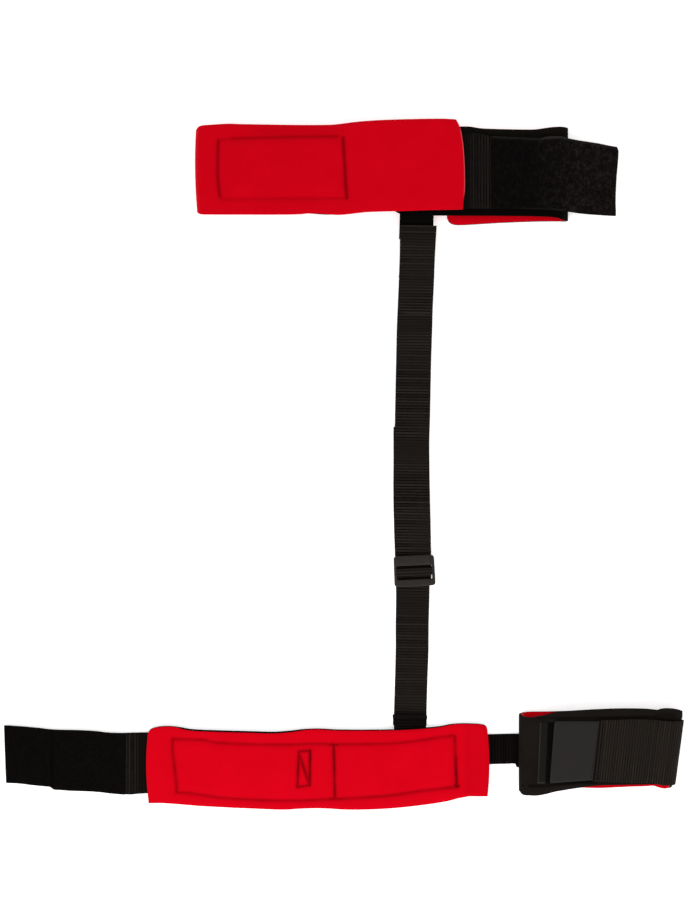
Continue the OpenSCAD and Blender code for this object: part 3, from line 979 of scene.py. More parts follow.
# the root beside the flap's edge lies flat, in painted shadow
upperElastic = layCloth(
    "upperClosureElastic", 300, 28,
    strapPlace(upperClosure["rootX"], upperClosure["elasticEnd"], upperClosure["elasticTop"],
               lambda x: upperClosure["low"](x) + 0.15, upperClosure["elasticHigh"],
               ribbedRelief(upperClosure["ribPitch"], 0.32),
               upperTipShift, None, lambda x: ease((90.5 - x) / 2)),
    1.3, 0.3,
)
finishCloth(upperElastic, elasticFinish,
            ["upper_closure_root", "upper_closure_elastic", "upper_closure_hook"],
            upperClosureBend)


def upperHookHighlight(x, fromLow, fromHigh):
    # a painted highlight along the top edge, and along part of the lower edge
    litEdge = 0.45 * ease(1 - fromHigh / 2.5)
    litEdge += 0.5 * ease(1 - fromHigh / 2.8) * ease((x - 138) / 8) * ease((163 - x) / 8)
    return litEdge + 0.35 * ease(1 - fromLow / 0.9) * ease((x - 118) / 20) * ease((160 - x) / 10)


upperHook = layCloth(
    "upperClosureHookFace", 130, 76,
    strapPlace(upperClosure["hookStart"], upperClosure["hookEnd"], upperClosure["hookTop"],
               upperClosure["low"], upperClosure["hookHigh"],
               pileRelief(4.5, 0.34, 11), upperTipShift, upperHookHighlight),
    1.0, 0.3,
)
finishCloth(upperHook, hookFuzz, ["upper_closure_overlay"], "upper_closure")

upperLoop = layCloth(
    "upperLoopPatch", 70, 34,
    strapPlace(-88, 0.6, 11.9, lambda x: 190.4, lambda x: mix(229.8, 231.6, (x + 88) / 89),
               pileRelief(4, 0.1, 21)),
    0.9, 0.25,
)
finishCloth(upperLoop, hookFuzz, ["upper_loop_patch"], "upper_front")
print("upper closure laid")


# lower pad: red side up, dark lining, two sewn panels

lowerPad = {
    "left": -139.9,
    "right": 102.4,
    "low": edgeThrough([
        (-140, -242.7), (-131, -242.6), (-121, -243.2), (-103, -244.7), (-96, -245.1), (-81, -245.9),
        (-67, -246.5), (-43, -247.3), (-31, -246.6), (-20, -246.3), (-10, -246.6), (-1, -247.2),
        (12, -247.3), (33, -246.4), (54, -244.3), (68.6, -242.2), (76, -240.7), (82, -239.1), (89, -237.9),
        (97, -237.8), (104, -237.8),
    ]),
    "high": edgeThrough([
        (-140.2, -194.0), (-139.4, -191.0), (-137.3, -189.3), (-133, -188.1), (-126, -187.6), (-119, -188.2),
        (-109, -189.9), (-92, -190.7), (-67, -191.4), (-50, -191.8), (-38, -190.9), (-28, -189.8),
        (-17, -189.5), (-3, -190.2), (33, -190.1), (54, -189.1), (69, -187.7), (76, -186.3), (85, -185.7),
        (93, -185.9), (98, -186.3), (101.4, -187.3), (102.8, -189.4),
    ]),
    "top": 5.3,
    "liningTop": 4.1,
    "patchTop": 2.28,
    "seams": [([(-122.2, -196.4), (-99.4, -197.3), (-92, -199.1), (-78, -199.9), (-58, -200.6), (-38, -200.6),
                (-24, -199.9),
                (-8, -200.2), (11, -200.2)], 0.4),
              ([(11, -200.2), (33, -199.9), (44, -198.8), (58, -197), (69, -195.2), (77.9, -194.2)], 0.42),
              ([(79.0, -194.6), (79.4, -200), (79.7, -210)], 0.52),
              ([(79.7, -210), (79.9, -218), (80.5, -230.6)], 0.76),
              ([(79.6, -231), (69, -232), (54, -233.8), (40, -236), (29, -237.4), (0, -239.2), (-17, -239.9),
                (-31, -240.6)], 0.44),
              ([(-31, -240.6), (-53, -240.6), (-74, -239.6), (-89, -238.5), (-110, -235.3), (-119.5, -234.5)],
               0.4),
              ([(-119.5, -234.5), (-119.6, -229), (-120.9, -215), (-122.3, -204), (-122.2, -196.4)], 0.5)],
    "divider": [([(-7.5, -200.4), (-6.9, -218)], 0.78), ([(-6.9, -218), (-6.5, -239)], 0.62)],
    "seamWidth": 1.2,
    "grooveDepth": 0.36,
}
lowerPadSeams = sewnRuns(lowerPad["seams"] + lowerPad["divider"])
seamTacks = {
    "dividerTop": [([(-10.2, -200.5), (-4.6, -200.7)], 0.6)],
    "dividerFoot": [([(-10.4, -239.2), (-6.6, -239.3)], 0.5)],
    "rightFoot": [([(79.6, -229.8), (81.4, -230.4)], 0.85)],
    "boxSides": [([(-33.4, -230.8), (-32.2, -205.6)], 0.72), ([(-24.2, -204.8), (-24.6, -229.6)], 0.85),
                 ([(-32.2, -207), (-24.6, -229.6)], 0.7)],
    "boxEnds": [([(-33.4, -230.8), (-24.6, -229.6)], 0.66), ([(-32.2, -205.6), (-24.2, -204.8)], 0.66)],
}
lowerPadTacks = sewnRuns(sum(seamTacks.values(), []))


def lowerPadRelief(x, y, part=0):
    d = lowerPad
    away, mark = seamPull(x, y, lowerPadSeams, 1.4)
    groove = d["grooveDepth"] * (0.6 + mark) * bell(away, 1.3)
    if -36 < x < 2:
        tackAway, _ = seamPull(x, y, lowerPadTacks, 1)
        groove += 0.25 * bell(tackAway, 0.8)
    inside = -121 < x < 80 and -239 < y < -197
    pillow = 0.42 * ease(away / 5.5) if inside else 0.2 * ease(away / 5)
    edge = min(y - d["low"](x), d["high"](x) - y, x - d["left"], d["right"] - x)
    roll = -0.55 * ease(1 - edge / 2.4)
    wave = 0.3 * cloud(x, y, 38, 6)
    # the cloth buckles slightly beside the right seam
    ridge = 0.5 * bell(x - 84.5, 2.6) - 0.5 * bell(x - 89.5, 2.2) + 0.35 * bell(x - 75, 2.4)
    return pillow - groove + roll + wave + ridge


def lowerPadShift(x, y, part=0):
    # both short ends bow out slightly
    bow = 1.65 * math.sin(math.pi * min(max((y + 242) / 54, 0), 1))
    return bow * ease((x - 74) / 30) - bow * ease((-110 - x) / 30)


def lowerPadMarks(x, y, part, u):
    # painted shade along the seam grooves and tacks, fainter around them and beside the right end's ridge;
    # its strength varies at random
    _, mark = seamPull(x, y, lowerPadSeams, lowerPad["seamWidth"])
    _, halo = seamPull(x, y, lowerPadSeams, 3.5)
    if -36 < x < 84:
        _, tack = seamPull(x, y, lowerPadTacks, 1.25)
        mark = max(mark, tack)
    fold = 0.05 * bell(x - 89.5, 3) + 0.05 * ease((x - 88) / 4)
    uneven = 1 + 0.3 * cloud(x, y, 9, 13)
    return min(1, (mark + 0.08 * halo) * uneven + fold), 0


lowerPadPath = [straightRun((lowerPad["left"], lowerPad["top"]), (lowerPad["right"], lowerPad["top"]))]


def lowerSkinHigh(x, part):
    # the skin stops short of the lining along part of the top
    slip = 0.15 + 0.75 * ease((x + 122) / 8) * ease((-20 - x) / 18)
    slip += 0.3 * ease((x + 30) / 20) * ease((84 - x) / 20)
    return lowerPad["high"](x) - slip


padSkin = layCloth(
    "lowerPadSkin", 380, 88,
    bandPlace(lowerPadPath, lambda x, part: lowerPad["low"](x), lowerSkinHigh, 0, lowerPadRelief,
              lowerPadShift,
              lowerPadMarks),
    1.2, 0.4,
)
finishCloth(padSkin, redSkin, ["pad_skin"], "lower_pad")
padLiningPath = [
    straightRun((lowerPad["left"] + 0.3, lowerPad["liningTop"]),
                (lowerPad["right"] - 0.3, lowerPad["liningTop"])),
]
padLining = layCloth(
    "lowerPadLining", 200, 44,
    bandPlace(padLiningPath, lambda x, part: lowerPad["low"](x) + 0.3, lambda x,
              part: lowerPad["high"](x) + 0.1,
              -0.05, lambda x, y, part: 0.3 * min(0, cloud(x, y, 38, 6)), lowerPadShift),
    1.75, 0.4,
)
finishCloth(padLining, blackSide, ["pad_lining"], "lower_pad")
padLoop = layCloth(
    "lowerPadLoopPatch", 90, 34,
    strapPlace(-119, -8.4, lowerPad["patchTop"], lambda x: mix(-233, -238, (x + 120) / 112),
               lambda x: mix(-198, -201.6, (x + 120) / 112), pileRelief(4, 0.06, 31)),
    0.75, 0.2,
)
finishCloth(padLoop, hookFuzz, ["pad_loop_patch"], "lower_pad")
padAnchor = layCloth(
    "lowerPadAnchorPatch", 80, 34,
    strapPlace(-6.4, 94, lowerPad["patchTop"], lambda x: mix(-238, -229, (x + 6.4) / 102.4),
               lambda x: mix(-201.6, -193, (x + 6.4) / 102.4), pileRelief(4, 0.04, 33)),
    0.75, 0.2,
)
finishCloth(padAnchor, hookMatt, ["pad_anchor_patch"], "lower_pad")
print("lower pad laid")


# left closure strap: elastic root, hook area, crease and tab

lowerClosure = {
    "tip": -242.5,
    "crease": -209.2,
    "hookStart": -157.0,
    "root": -124.5,
    "elasticTop": 2.3,
    "hookTop": 3.1,
    "low": edgeThrough([
        (-243, -228.5), (-232, -229.1), (-225, -230.0), (-214, -231.1), (-210.6, -231.5), (-208.4, -233.2),
        (-203, -233.7), (-196, -234.2), (-182, -234.7), (-175, -235.2), (-167.6, -236.1), (-160, -236.8),
        (-153, -237.2), (-146, -236.5), (-124, -235.4),
    ]),
    "high": edgeThrough([
        (-243, -186.9), (-232, -187.6), (-218, -188.9), (-210.6, -189.8), (-203, -190.2), (-189, -190.5),
        (-177, -191.2), (-171, -192.0), (-160, -192.5), (-153, -192.2), (-124, -192.0),
    ]),
}
lowerClosureBend = {
    "from": "lower_pad", "to": "lower_closure", "start": (-0.1385, -0.213, 0.0015),
    "end": (-0.1445, -0.213, 0.0015),
}


def lowerTipShift(x, y):
    return ((y + 208) / 40 * -1.4 - 0.4) * ease((-200 - x) / 42)


def nearCrease(x):
    # flattened, with painted shade, next to the crease
    return ease(1 - abs(x - lowerClosure["crease"]) / 1.6)


def lowerHookHighlight(x, fromLow, fromHigh):
    # a painted highlight along the top edge, and along the lower edge near the tip
    return 0.25 * ease(1 - fromHigh / 0.9) + 0.3 * ease(1 - fromLow / 0.9) * ease((-190 - x) / 10)


# the root beside the pad's edge lies flat, in painted shadow
lowerElastic = layCloth(
    "lowerClosureElastic", 280, 26,
    strapPlace(lowerClosure["tip"] + 1.2, lowerClosure["root"], lowerClosure["elasticTop"],
               lambda x: lowerClosure["low"](x) + 0.2, lambda x: lowerClosure["high"](x) - 0.2,
               ribbedRelief(2.03, 0.28), lowerTipShift, None, lambda x: ease((x + 148.5) / 2)),
    1.3, 0.3,
)
finishCloth(lowerElastic, elasticFinish, ["lower_closure_elastic", "lower_closure_root"],
            lowerClosureBend)
lowerHook = layCloth(
    "lowerClosureHookFace", 80, 60,
    strapPlace(lowerClosure["crease"] + 0.15, lowerClosure["hookStart"], lowerClosure["hookTop"],
               lowerClosure["low"],
               lowerClosure["high"], pileRelief(5, 0.2, 41), None, lowerHookHighlight, nearCrease),
    0.85, 0.3,
)
finishCloth(lowerHook, hookMatt, ["lower_closure_hook"], "lower_closure")
lowerTab = layCloth(
    "lowerClosureHookTab", 48, 60,
    strapPlace(lowerClosure["tip"], lowerClosure["crease"] - 0.15, lowerClosure["hookTop"],
               lowerClosure["low"],
               lowerClosure["high"], pileRelief(5, 0.14, 43), lowerTipShift, None, nearCrease),
    0.85, 0.3,
)
finishCloth(lowerTab, hookMatt, ["lower_closure_tab"], "lower_closure")
print("left closure laid")


# long strap: webbing runs in the strap's own leaning frame

strapFrame = {
    "x": 48.7,
    "y": -76.6,
    "lean": 0.9,
    "clothThick": 1.35,
    "ribPitch": 2.06,
    "sliderTurn": 3.5,
    "sliderX": 1.7,
    "sliderY": -0.9,
}


def inStrap(across, along, z, turned=False):
    # the slider and the loop on it sit a little turned in the strap
    if turned:
        a = math.radians(strapFrame["sliderTurn"])
        across, along = across * math.cos(a) - along * math.sin(a), across * math.sin(a) + along * math.cos(a)
        across, along = across + strapFrame["sliderX"], along + strapFrame["sliderY"]
    lean = math.radians(strapFrame["lean"])
    x = strapFrame["x"] + across * math.cos(lean) + along * math.sin(lean)
    y = strapFrame["y"] - across * math.sin(lean) + along * math.cos(lean)
    return (x, y, z)


def webbingPlace(path, width, ribHeight=0.2, turned=False, wander=None, widen=None, pulled=None, worn=None):
    total = pathLength(path)

    def place(u, v):
        s = u * total
        along, z, na, nz, number = followPath(path, s)
        wide = width * (widen(along) if widen else 1)
        across = wide * (0.5 - v)
        edge = wide / 2 - abs(across)
        rib = ribCrest(s + 0.15 * cloud(s, across, 8, 2), strapFrame["ribPitch"])
        up = ribHeight * (rib - 1) - 0.32 * ease(1 - edge / 1.0)
        spread = 1 + 0.008 * (rib - 0.5) + 0.012 * cloud(s, 0, 25, 9)
        drift = wander(along) if wander else 0
        # flat stretches also get painted shade, and some lines a painted highlight
        flat = pulled(along) if pulled else 0
        up *= 1 - 0.6 * flat
        pale = worn(along, across, number) if worn else 0
        return inStrap(across * spread + drift, along + na * up, z + nz * up, turned), s, across, flat, pale

    return place


def layWebbing(name, path, material, nodes, body, width, **more):
    steps = max(6, int(pathLength(path) / 0.42))
    piece = layCloth(name, steps, 18, webbingPlace(path, width, **more), strapFrame["clothThick"], 0.28)
    finishCloth(piece, material, nodes, body)
    return piece


def upperWebFlatShade(along):
    # flat stretches with painted shade, near the lower end and where the strap was once creased
    stretches = ((87, 11, 1), (176, 12, 0.8), (236, 14, 0.5))
    return max(share * ease(1 - abs(along - middle) / reach) for middle, reach, share in stretches)


def upperWebHighlights(along, across, part):
    # a painted highlight along a crease and at the strap's top end
    crease = bell(along - 184.5, 0.9) * ease((across + 11) / 6)
    return 0.3 * crease + 0.35 * ease((along - 246.0) / 0.5)


# the stretch just below the slider lies flat, with painted shade
layWebbing(
    "lowerWeb",
    [straightRun((-166, 1.5), (103, 1.5))],
    webbingFinish, ["lower_web"], "lower_pad", width=24.8,
    wander=edgeThrough([
        (-166, 0.3), (-105, 0.4), (-85, 0.6), (-57, 1.0), (-40, 0.8), (-14, 0.8), (12, -0.2), (51, -1.7),
        (103, -2.5),
    ]),
    widen=edgeThrough([(-166, 0.94), (-100, 0.94), (-57, 0.955), (-14, 0.97), (30, 1.0), (103, 1.0)]),
    pulled=lambda a: 0.9 * ease(1 - abs(a + 24) / 16) + 0.35 * ease((-30 - a) / 20),
)
layWebbing(
    "upperWeb",
    [straightRun((10.2, 3.3), (210, 3.3)), roundTurn((210, 11.3), 8.0, -90, -76.5),
     straightRun((211.87, 3.52), (246.6, 11.9))],
    webbingFinish, ["upper_web"], "upper_strap", width=25.2,
    wander=edgeThrough([
        (10, 0.8), (30, 0.3), (51, -0.5), (87, -1.6), (108, -1.4), (150, -1.2), (169, -1.0), (187, -0.7),
        (208, -0.1), (246, 0.4),
    ]),
    widen=edgeThrough([
        (10, 1.01), (87, 1.0), (169, 1.0), (225, 1.0), (236, 1.015), (242, 1.03), (247, 1.04),
    ]),
    pulled=upperWebFlatShade, worn=upperWebHighlights,
)
# the stub under the flap is flat and wholly in painted shadow
layWebbing(
    "upperWebStub",
    [straightRun((237, 6.6), (250.5, 10.5)), straightRun((250.5, 10.5), (284, 10.5))],
    darkWebbing, ["upper_web_stub"], "upper_strap", width=24.4,
    wander=lambda a: -0.9, pulled=lambda a: 1,
)
# a painted highlight along the top of the fold
layWebbing(
    "lowerAnchorFold",
    [straightRun((-110.2, 1.52), (-106.0, 1.52)), roundTurn((-106.0, 3.62), 2.1, -90, 90),
     straightRun((-106.0, 5.72), (-110.4, 5.72))],
    darkWebbing, ["lower_anchor_fold"], "lower_pad", width=24.1,
    wander=lambda a: 0.1, worn=lambda a, across, part: 0.45 * ease((a + 105.6) / 0.8) if part else 0,
)
sliderLoopPath = [
    straightRun((-9, 3.3), (-4.0, 3.3)),
    roundTurn((-4.0, 3.9), 0.6, -90, 0),
    straightRun((-3.4, 3.9), (-3.4, 5.6)),
    roundTurn((-2.0, 5.6), 1.4, 180, 90),
    straightRun((-2.0, 7.0), (2.0, 7.0)),
    roundTurn((2.0, 5.6), 1.4, 90, 0),
    straightRun((3.4, 5.6), (3.4, 3.9)),
    roundTurn((4.0, 3.9), 0.6, 180, 270),
    straightRun((4.0, 3.3), (9.2, 3.3)),
]
layWebbing(
    "sliderLoop", sliderLoopPath, webbingFinish, ["slider_bight"], "upper_strap", width=24.9,
    turned=True, ribHeight=0.16, wander=edgeThrough([(-9, -0.3), (-3.2, -0.25), (-1, 0), (9, 0)]),
    widen=edgeThrough([(-9, 0.975), (-3.2, 0.975), (-1, 1.0), (9, 1.0)]),
)


connectorSpan = {"left": 66, "right": 168, "middle": -204.6, "width": 21.5}


def connectorPlace(u, v):
    d = connectorSpan
    x = mix(d["left"], d["right"], u)
    across = d["width"] * (v - 0.5)
    rib = ribCrest(x, strapFrame["ribPitch"])
    edge = d["width"] / 2 - abs(across)
    fray = 0.35 * cloud(x, 0, 2.2, 19) * ease(1 - v / 0.08) * ease((x - 110) / 8)
    end = -2.4 * ease((x - 122.6) / 1.2) * ease((0.5 - v) * 3)
    y = d["middle"] + across * (1 + 0.01 * rib) + 0.5 * math.sin(x / 16) + fray + end
    return (x, y, 1.5 + 0.18 * (rib - 1) - 0.3 * ease(1 - edge)), x, across


connector = layCloth("connectorWeb", 240, 16, connectorPlace, 1.3, 0.28)
finishCloth(connector, darkWebbing, ["connector_root", "connector_web"],
            {"from": "lower_pad", "to": "side_cuff", "start": (0.1036, -0.204, 0.001),
             "end": (0.1095, -0.204, 0.001)})
print("webbing laid")


# slider: a moulded frame with two slots and a centre bar

slider = {
    "widthTop": 28.8,
    "widthBottom": 29.4,
    "topBar": 7.1,
    "bottomBar": 4.6,
    "slotZone": 9.9,
    "slotLength": 25.1,
    "bar": 3.5,
    "thick": 3.0,
    "bottom": 3.6,
    "cornerRadius": 2.0,
    "lowerBow": 0.6,
    "upperBow": 0.2,
    "barThick": 1.8,
}


def makeBlock(centre, size):
    pickNothing()
    bpy.ops.mesh.primitive_cube_add(size=1, location=[c * mm for c in centre])
    block = bpy.context.object
    block.scale = [c * mm for c in size]
    settleShape()
    return block


def makeSlider():
    d = slider
    high = d["slotZone"] / 2 + d["topBar"]
    low = -d["slotZone"] / 2 - d["bottomBar"]
    body = makeBlock((0, (high + low) / 2, d["bottom"] + d["thick"] / 2),
                     (d["widthBottom"], high - low, d["thick"]))
    # two cuts let the lower edge bow outwards
    bpy.ops.object.mode_set(mode="EDIT")
    for cut in (-0.0085, 0.0, 0.0085):
        bpy.ops.mesh.select_all(action="SELECT")
        bpy.ops.mesh.bisect(plane_co=(cut, 0, 0), plane_no=(1, 0, 0))
    bpy.ops.object.mode_set(mode="OBJECT")
    half = d["widthBottom"] / 2 * mm
    for point in body.data.vertices:
        outward = abs(point.co.x) / half
        if point.co.y < 0:
            point.co.y -= d["lowerBow"] * mm * (1 - outward**2)
        else:
            point.co.x *= d["widthTop"] / d["widthBottom"]
            point.co.y += d["upperBow"] * mm * (1 - outward**2)
    # round the four upright corners
    bpy.ops.object.mode_set(mode="EDIT")
    bpy.ops.mesh.select_mode(type="EDGE")
    bpy.ops.mesh.select_all(action="DESELECT")
    bpy.ops.object.mode_set(mode="OBJECT")
    for edge in body.data.edges:
        a, b = (body.data.vertices[i].co for i in edge.vertices)
        edge.select = min(abs(a.x), abs(b.x)) > half * 0.95 and abs(a.z - b.z) > 2 * mm
    bpy.ops.object.mode_set(mode="EDIT")
    bpy.ops.mesh.bevel(offset=d["cornerRadius"] * mm, segments=6, affect="EDGES")
    bpy.ops.object.mode_set(mode="OBJECT")
    # the slot zone is cut out with a rounded block
    cutter = makeBlock((0, 0, d["bottom"] + d["thick"] / 2), (d["slotLength"], d["slotZone"], 8))
    roundEdges(cutter, 0.6, 3, 60)
    applyModifier(body, "BOOLEAN", object=cutter, operation="DIFFERENCE", solver="EXACT")
    bpy.data.objects.remove(cutter)
    roundEdges(body, 0.8, 4, 50)
    # centre bar, let into both sides
    bar = makeBlock((0, 0, d["bottom"] + d["barThick"] / 2), (d["slotLength"] + 1.2, d["bar"], d["barThick"]))
    roundEdges(bar, 0.5, 3, 50)
    whole = joinPieces([body, bar], "sliderBuckle")
    for point in whole.data.vertices:
        at = point.co / mm
        point.co = Vector(inStrap(at.x, at.y, at.z, True)) * mm
    smoothOver(whole, 35)
    dress(whole, sliderPlastic, ["slider"], "upper_strap")


makeSlider()
print("slider made")


# side cuff: a flattened neoprene loop, closed by elastic and a hook tab

sideCuff = {
    "leftX": 130.8,
    "rightX": 234.6,
    "frontLow": edgeThrough([
        (124.6, -233.2), (127, -235.4), (131, -235.9), (137, -236.1), (143, -235.2), (150, -233.4),
        (157, -232.2), (161, -231.5), (168, -230.5), (175, -229.5), (182, -228.9), (196, -228.5),
        (218, -228.2), (225, -228.0), (235, -228.6),
    ]),
    "frontHigh": edgeThrough([
        (124.6, -178.6), (127, -179.6), (131, -180.1), (136, -179.9), (140, -179.2), (145, -177.8),
        (150, -176.9), (161, -175.9), (175, -175.2), (196, -174.5), (218, -174.6), (222.6, -175.2),
        (225, -174.1), (230, -173.6), (236, -174.4), (241, -176),
    ]),
    "backLow": edgeThrough([
        (124.6, -232.8), (131, -234.6), (143, -234.2), (157, -232.0), (168, -231.6), (183, -231.9),
        (196, -231.4), (210, -230.9), (222, -230.6), (227.5, -230.3), (231, -231.3), (235, -232.2),
        (241, -232.3),
    ]),
    "backHigh": edgeThrough([
        (124.6, -178.4), (128, -177.8), (134, -177.4), (144, -177.3), (152, -177.1), (161, -176.8),
        (171, -176.2), (182, -175.6), (196, -175.1), (210, -175.1), (218, -175.4), (224, -176),
        (235, -176.6),
    ]),
    "back": 1.5,
    "front": 13.5,
    "foldHeight": 7.5,
    "foldRadius": 6.0,
    "meet": 182,
    "slant": 6.2,
    "stitchHigh": [(137, -180.9), (150, -180.6), (182, -180.4), (222, -179.8)],
    "stitchLow": [(126, -229.0), (143, -228.9), (152, -228.1), (168, -226.9), (180, -226.8)],
}
sideStitches = sewnRuns([(sideCuff["stitchHigh"], 0.5), (sideCuff["stitchLow"], 0.8)])
sideLoopPath = [
    straightRun((sideCuff["meet"], sideCuff["back"]), (sideCuff["leftX"], sideCuff["back"])),
    roundTurn((sideCuff["leftX"], sideCuff["foldHeight"]), sideCuff["foldRadius"], -90, -270),
    straightRun((sideCuff["leftX"], sideCuff["front"]), (sideCuff["rightX"], sideCuff["front"])),
    roundTurn((sideCuff["rightX"], sideCuff["foldHeight"]), sideCuff["foldRadius"], 90, -90),
    straightRun((sideCuff["rightX"], sideCuff["back"]), (sideCuff["meet"], sideCuff["back"])),
]


def sideSlant(x, y):
    # the closed end runs askew, nearer at the lower edge
    out = 1.0 * ease((x - 226) / 8) * ease((y + 184) / 4)
    return out - sideCuff["slant"] * ease((x - 178) / 58) * min(max((-183 - y) / 46, -0.02), 1.1)


def sideRelief(x, y, part):
    if part != 2:
        return 0
    d = sideCuff
    edge = min(y - d["frontLow"](x), d["frontHigh"](x) - y)
    away, _ = seamPull(x, y, sideStitches, 1)
    roll = -0.6 * ease(1 - edge / 2.6)
    # the top edge swells towards the fold, past a small dent
    swell = 0.5 * ease((x - 221) / 4) * ease((y + 181) / 4) - 0.3 * bell(x - 221, 2) * ease((y + 180) / 4)
    ribs = 0.06 * math.cos(x * math.pi / 1.7) * ease((138 - x) / 3)
    return roll - 0.35 * bell(away, 0.8) + 0.25 * cloud(x, y, 24, 8) + swell + ribs


def sidePlace(lift, relief=None, marked=False, slip=None):
    # the fold's edge runs evenly from the back's edge to the front's
    d = sideCuff
    total = pathLength(sideLoopPath)

    def place(u, v):
        s = u * total
        x, z, nx, nz, part = followPath(sideLoopPath, s)
        share = ease((z - d["back"]) / (d["front"] - d["back"]))
        low = mix(d["backLow"](x), d["frontLow"](x), share)
        high = mix(d["backHigh"](x), d["frontHigh"](x), share)
        if slip:
            high -= slip(x) * (1 - share) + 0.3 * share
        y = mix(low, high, v)
        up = lift + (relief(x, y, part) if relief else 0)
        # painted shade along the stitches and inside the top of the right fold
        seam = foldShade = 0
        if marked and part == 2:
            seam = seamPull(x, y, sideStitches, 0.9)[1]
            foldShade = 0.5 * ease((x - 220) / 5) * ease((-175.6 - y) / 2)
        # little light reaches the skin beyond the open mouth
        shade = 0.95 * ease((x - 146) / 5) * ease((y + 181) / 3) if slip else 0
        return (x + nx * up + sideSlant(x, y), y, z + nz * up), s, y, min(1, seam + foldShade + shade), 0

    return place


sideOuter = layCloth("sideCuffOuter", 260, 70, sidePlace(0, sideRelief, True), 1.78, 0.5)
finishCloth(sideOuter, blackPaler,
            ["side_back_outer", "side_left_fold_outer", "side_right_fold_outer", "side_front_outer"],
            "side_cuff")


def skinSlip(x):
    # how far the skin's top edge lies behind the lining's
    slip = 0.9 * ease((x - 150) / 5)
    return slip * (1 - 0.7 * ease(1 - abs(x - 182) / 9)) * (1 - 0.7 * ease(1 - abs(x - 219) / 6))


sideSkin = layCloth("sideCuffSkin", 240, 60, sidePlace(-1.8, None, False, skinSlip), 1.2, 0.35)
finishCloth(sideSkin, redSkin,
            ["side_back_skin", "side_left_fold_skin", "side_right_fold_skin", "side_front_skin"],
            "side_cuff")

sideClosure = {
    "top": 15.9,
    "wrapX": 234.4,
    "wrapRadius": 8.4,
    "ribPitch": 1.88,
    "seamTop": 182.9,
    "seamFoot": 178.2,
    "low": edgeThrough([
        (176, -225.7), (180, -225.9), (196, -226.3), (218, -226.7), (226, -227.2), (234, -228.6),
    ]),
    "high": edgeThrough([
        (180, -182.1), (196, -181.7), (210, -181.4), (220, -181.8), (226, -182.4), (234, -182.9),
    ]),
    "tab": {"topLeft": 149.5, "topRight": 181.6, "footLeft": 146.1, "footRight": 176.6, "z": 16.0},
    "patch": {"topLeft": 139.3, "footLeft": 137.5, "right": 196, "bar": 6.2, "z": 13.95},
    "hem": {"radius": 6.88, "from": -62, "to": -14},
}
sideElasticPath = [
    roundTurn((sideClosure["wrapX"], sideCuff["foldHeight"]), sideClosure["wrapRadius"], -62, 90),
    straightRun((sideClosure["wrapX"], sideClosure["top"]),
                (sideClosure["seamTop"] - 1.7, sideClosure["top"])),
]


def downTab(y):
    return min(max((-182.8 - y) / 44, 0), 1)


def sideElasticPlace(u, v):
    d = sideClosure
    total = pathLength(sideElasticPath)
    s = u * total
    x, z, nx, nz, part = followPath(sideElasticPath, s)
    # this path runs right to left, so its outward side is the other one
    if part == 1:
        nx, nz = -nx, -nz
    y = mix(d["high"](x), d["low"](x), v) + 0.2 * math.cos(s * 3)
    rib = ribCrest(s + 0.2 * cloud(s, y, 10, 6), d["ribPitch"])
    edge = min(v, 1 - v) * 45.0
    # a shallow step where it is sewn under the tab's edge, with painted shadow there
    step = ease((d["seamTop"] - x) / 0.5)
    up = (0.3 * (rib - 1) + 0.15 * cloud(s, y, 14,
                                         12)) * (1 - step) - 0.35 * ease(1 - edge / 1.1) - 0.5 * step
    lean = mix((d["seamFoot"] - d["seamTop"]) * downTab(y), sideSlant(234, y), ease((x - 181) / 53))
    return (x + nx * up + lean, y, z + nz * up), s, y, step, 0


sideElastic = layCloth("sideClosureElastic", 200, 44, sideElasticPlace, 1.3, 0.3)
finishCloth(sideElastic, paleElastic, ["side_closure_elastic", "side_closure_wrap"],
            {"from": "side_cuff", "to": "side_closure", "start": (0.2352, -0.206, 0.015),
             "end": (0.2295, -0.206, 0.015)})


def sideTabPlace(u, v):
    t = sideClosure["tab"]
    x = mix(t["topLeft"], t["topRight"], u)
    y = mix(mix(-226.9, -224.7, u), -182.7, v)
    down = downTab(y)
    left, right = mix(t["topLeft"], t["footLeft"], down), mix(t["topRight"], t["footRight"], down)
    edge = min(v, 1 - v) * 43
    near = min(edge, u * 31, (1 - u) * 31)
    trim = 0.9 * ease(1 - edge / 1.4) * ease(1 - u * 31 / 5)
    up = 0.12 * cloud(x, y, 20, 15) - 0.35 * ease(1 - near / 1.1)
    # a painted highlight along the tab's edges
    return (mix(left, right, u) + trim, y, t["z"] + up), x, y, 0, 0.25 * ease(1 - near / 0.7)


sideTab = layCloth("sideHookTab", 60, 66, sideTabPlace, 1.45, 0.3)
finishCloth(sideTab, smoothTab, ["side_hook_tab"], "side_closure")


def sidePatchPlace(u, v):
    p = sideClosure["patch"]
    y = mix(-227.2, -183.6, v)
    left = mix(p["topLeft"], p["footLeft"], downTab(y))
    x = mix(left, p["right"], u)
    fromLeft = x - left
    # the turned-in end makes a low bar along the left edge
    bar = ease(2.2 * (1 - abs(fromLeft - p["bar"] * 0.5) / (p["bar"] * 0.55)))
    up = 0.08 * cloud(x, y, 4, 17) + 0.55 * bar - 0.25 * ease(1 - min(v, 1 - v) * 45 / 1.2)
    # a painted highlight along the left edge and the lower end of the bar, and a little on the bar
    turned = 0.95 * ease(1.3 - fromLeft / 1.0) * (0.7 + 0.3 * cloud(x, y, 16, 4))
    turned += 0.7 * ease(1 - v * 45 / 1.6) * ease(1 - (fromLeft - 4.5) / 2)
    return (x, y, p["z"] + up), x, y, 0, min(1, turned + 0.22 * bar)


sidePatch = layCloth("sideLoopPatch", 130, 66, sidePatchPlace, 0.75, 0.22)
finishCloth(sidePatch, hookMatt, ["side_loop_patch"], "side_cuff")


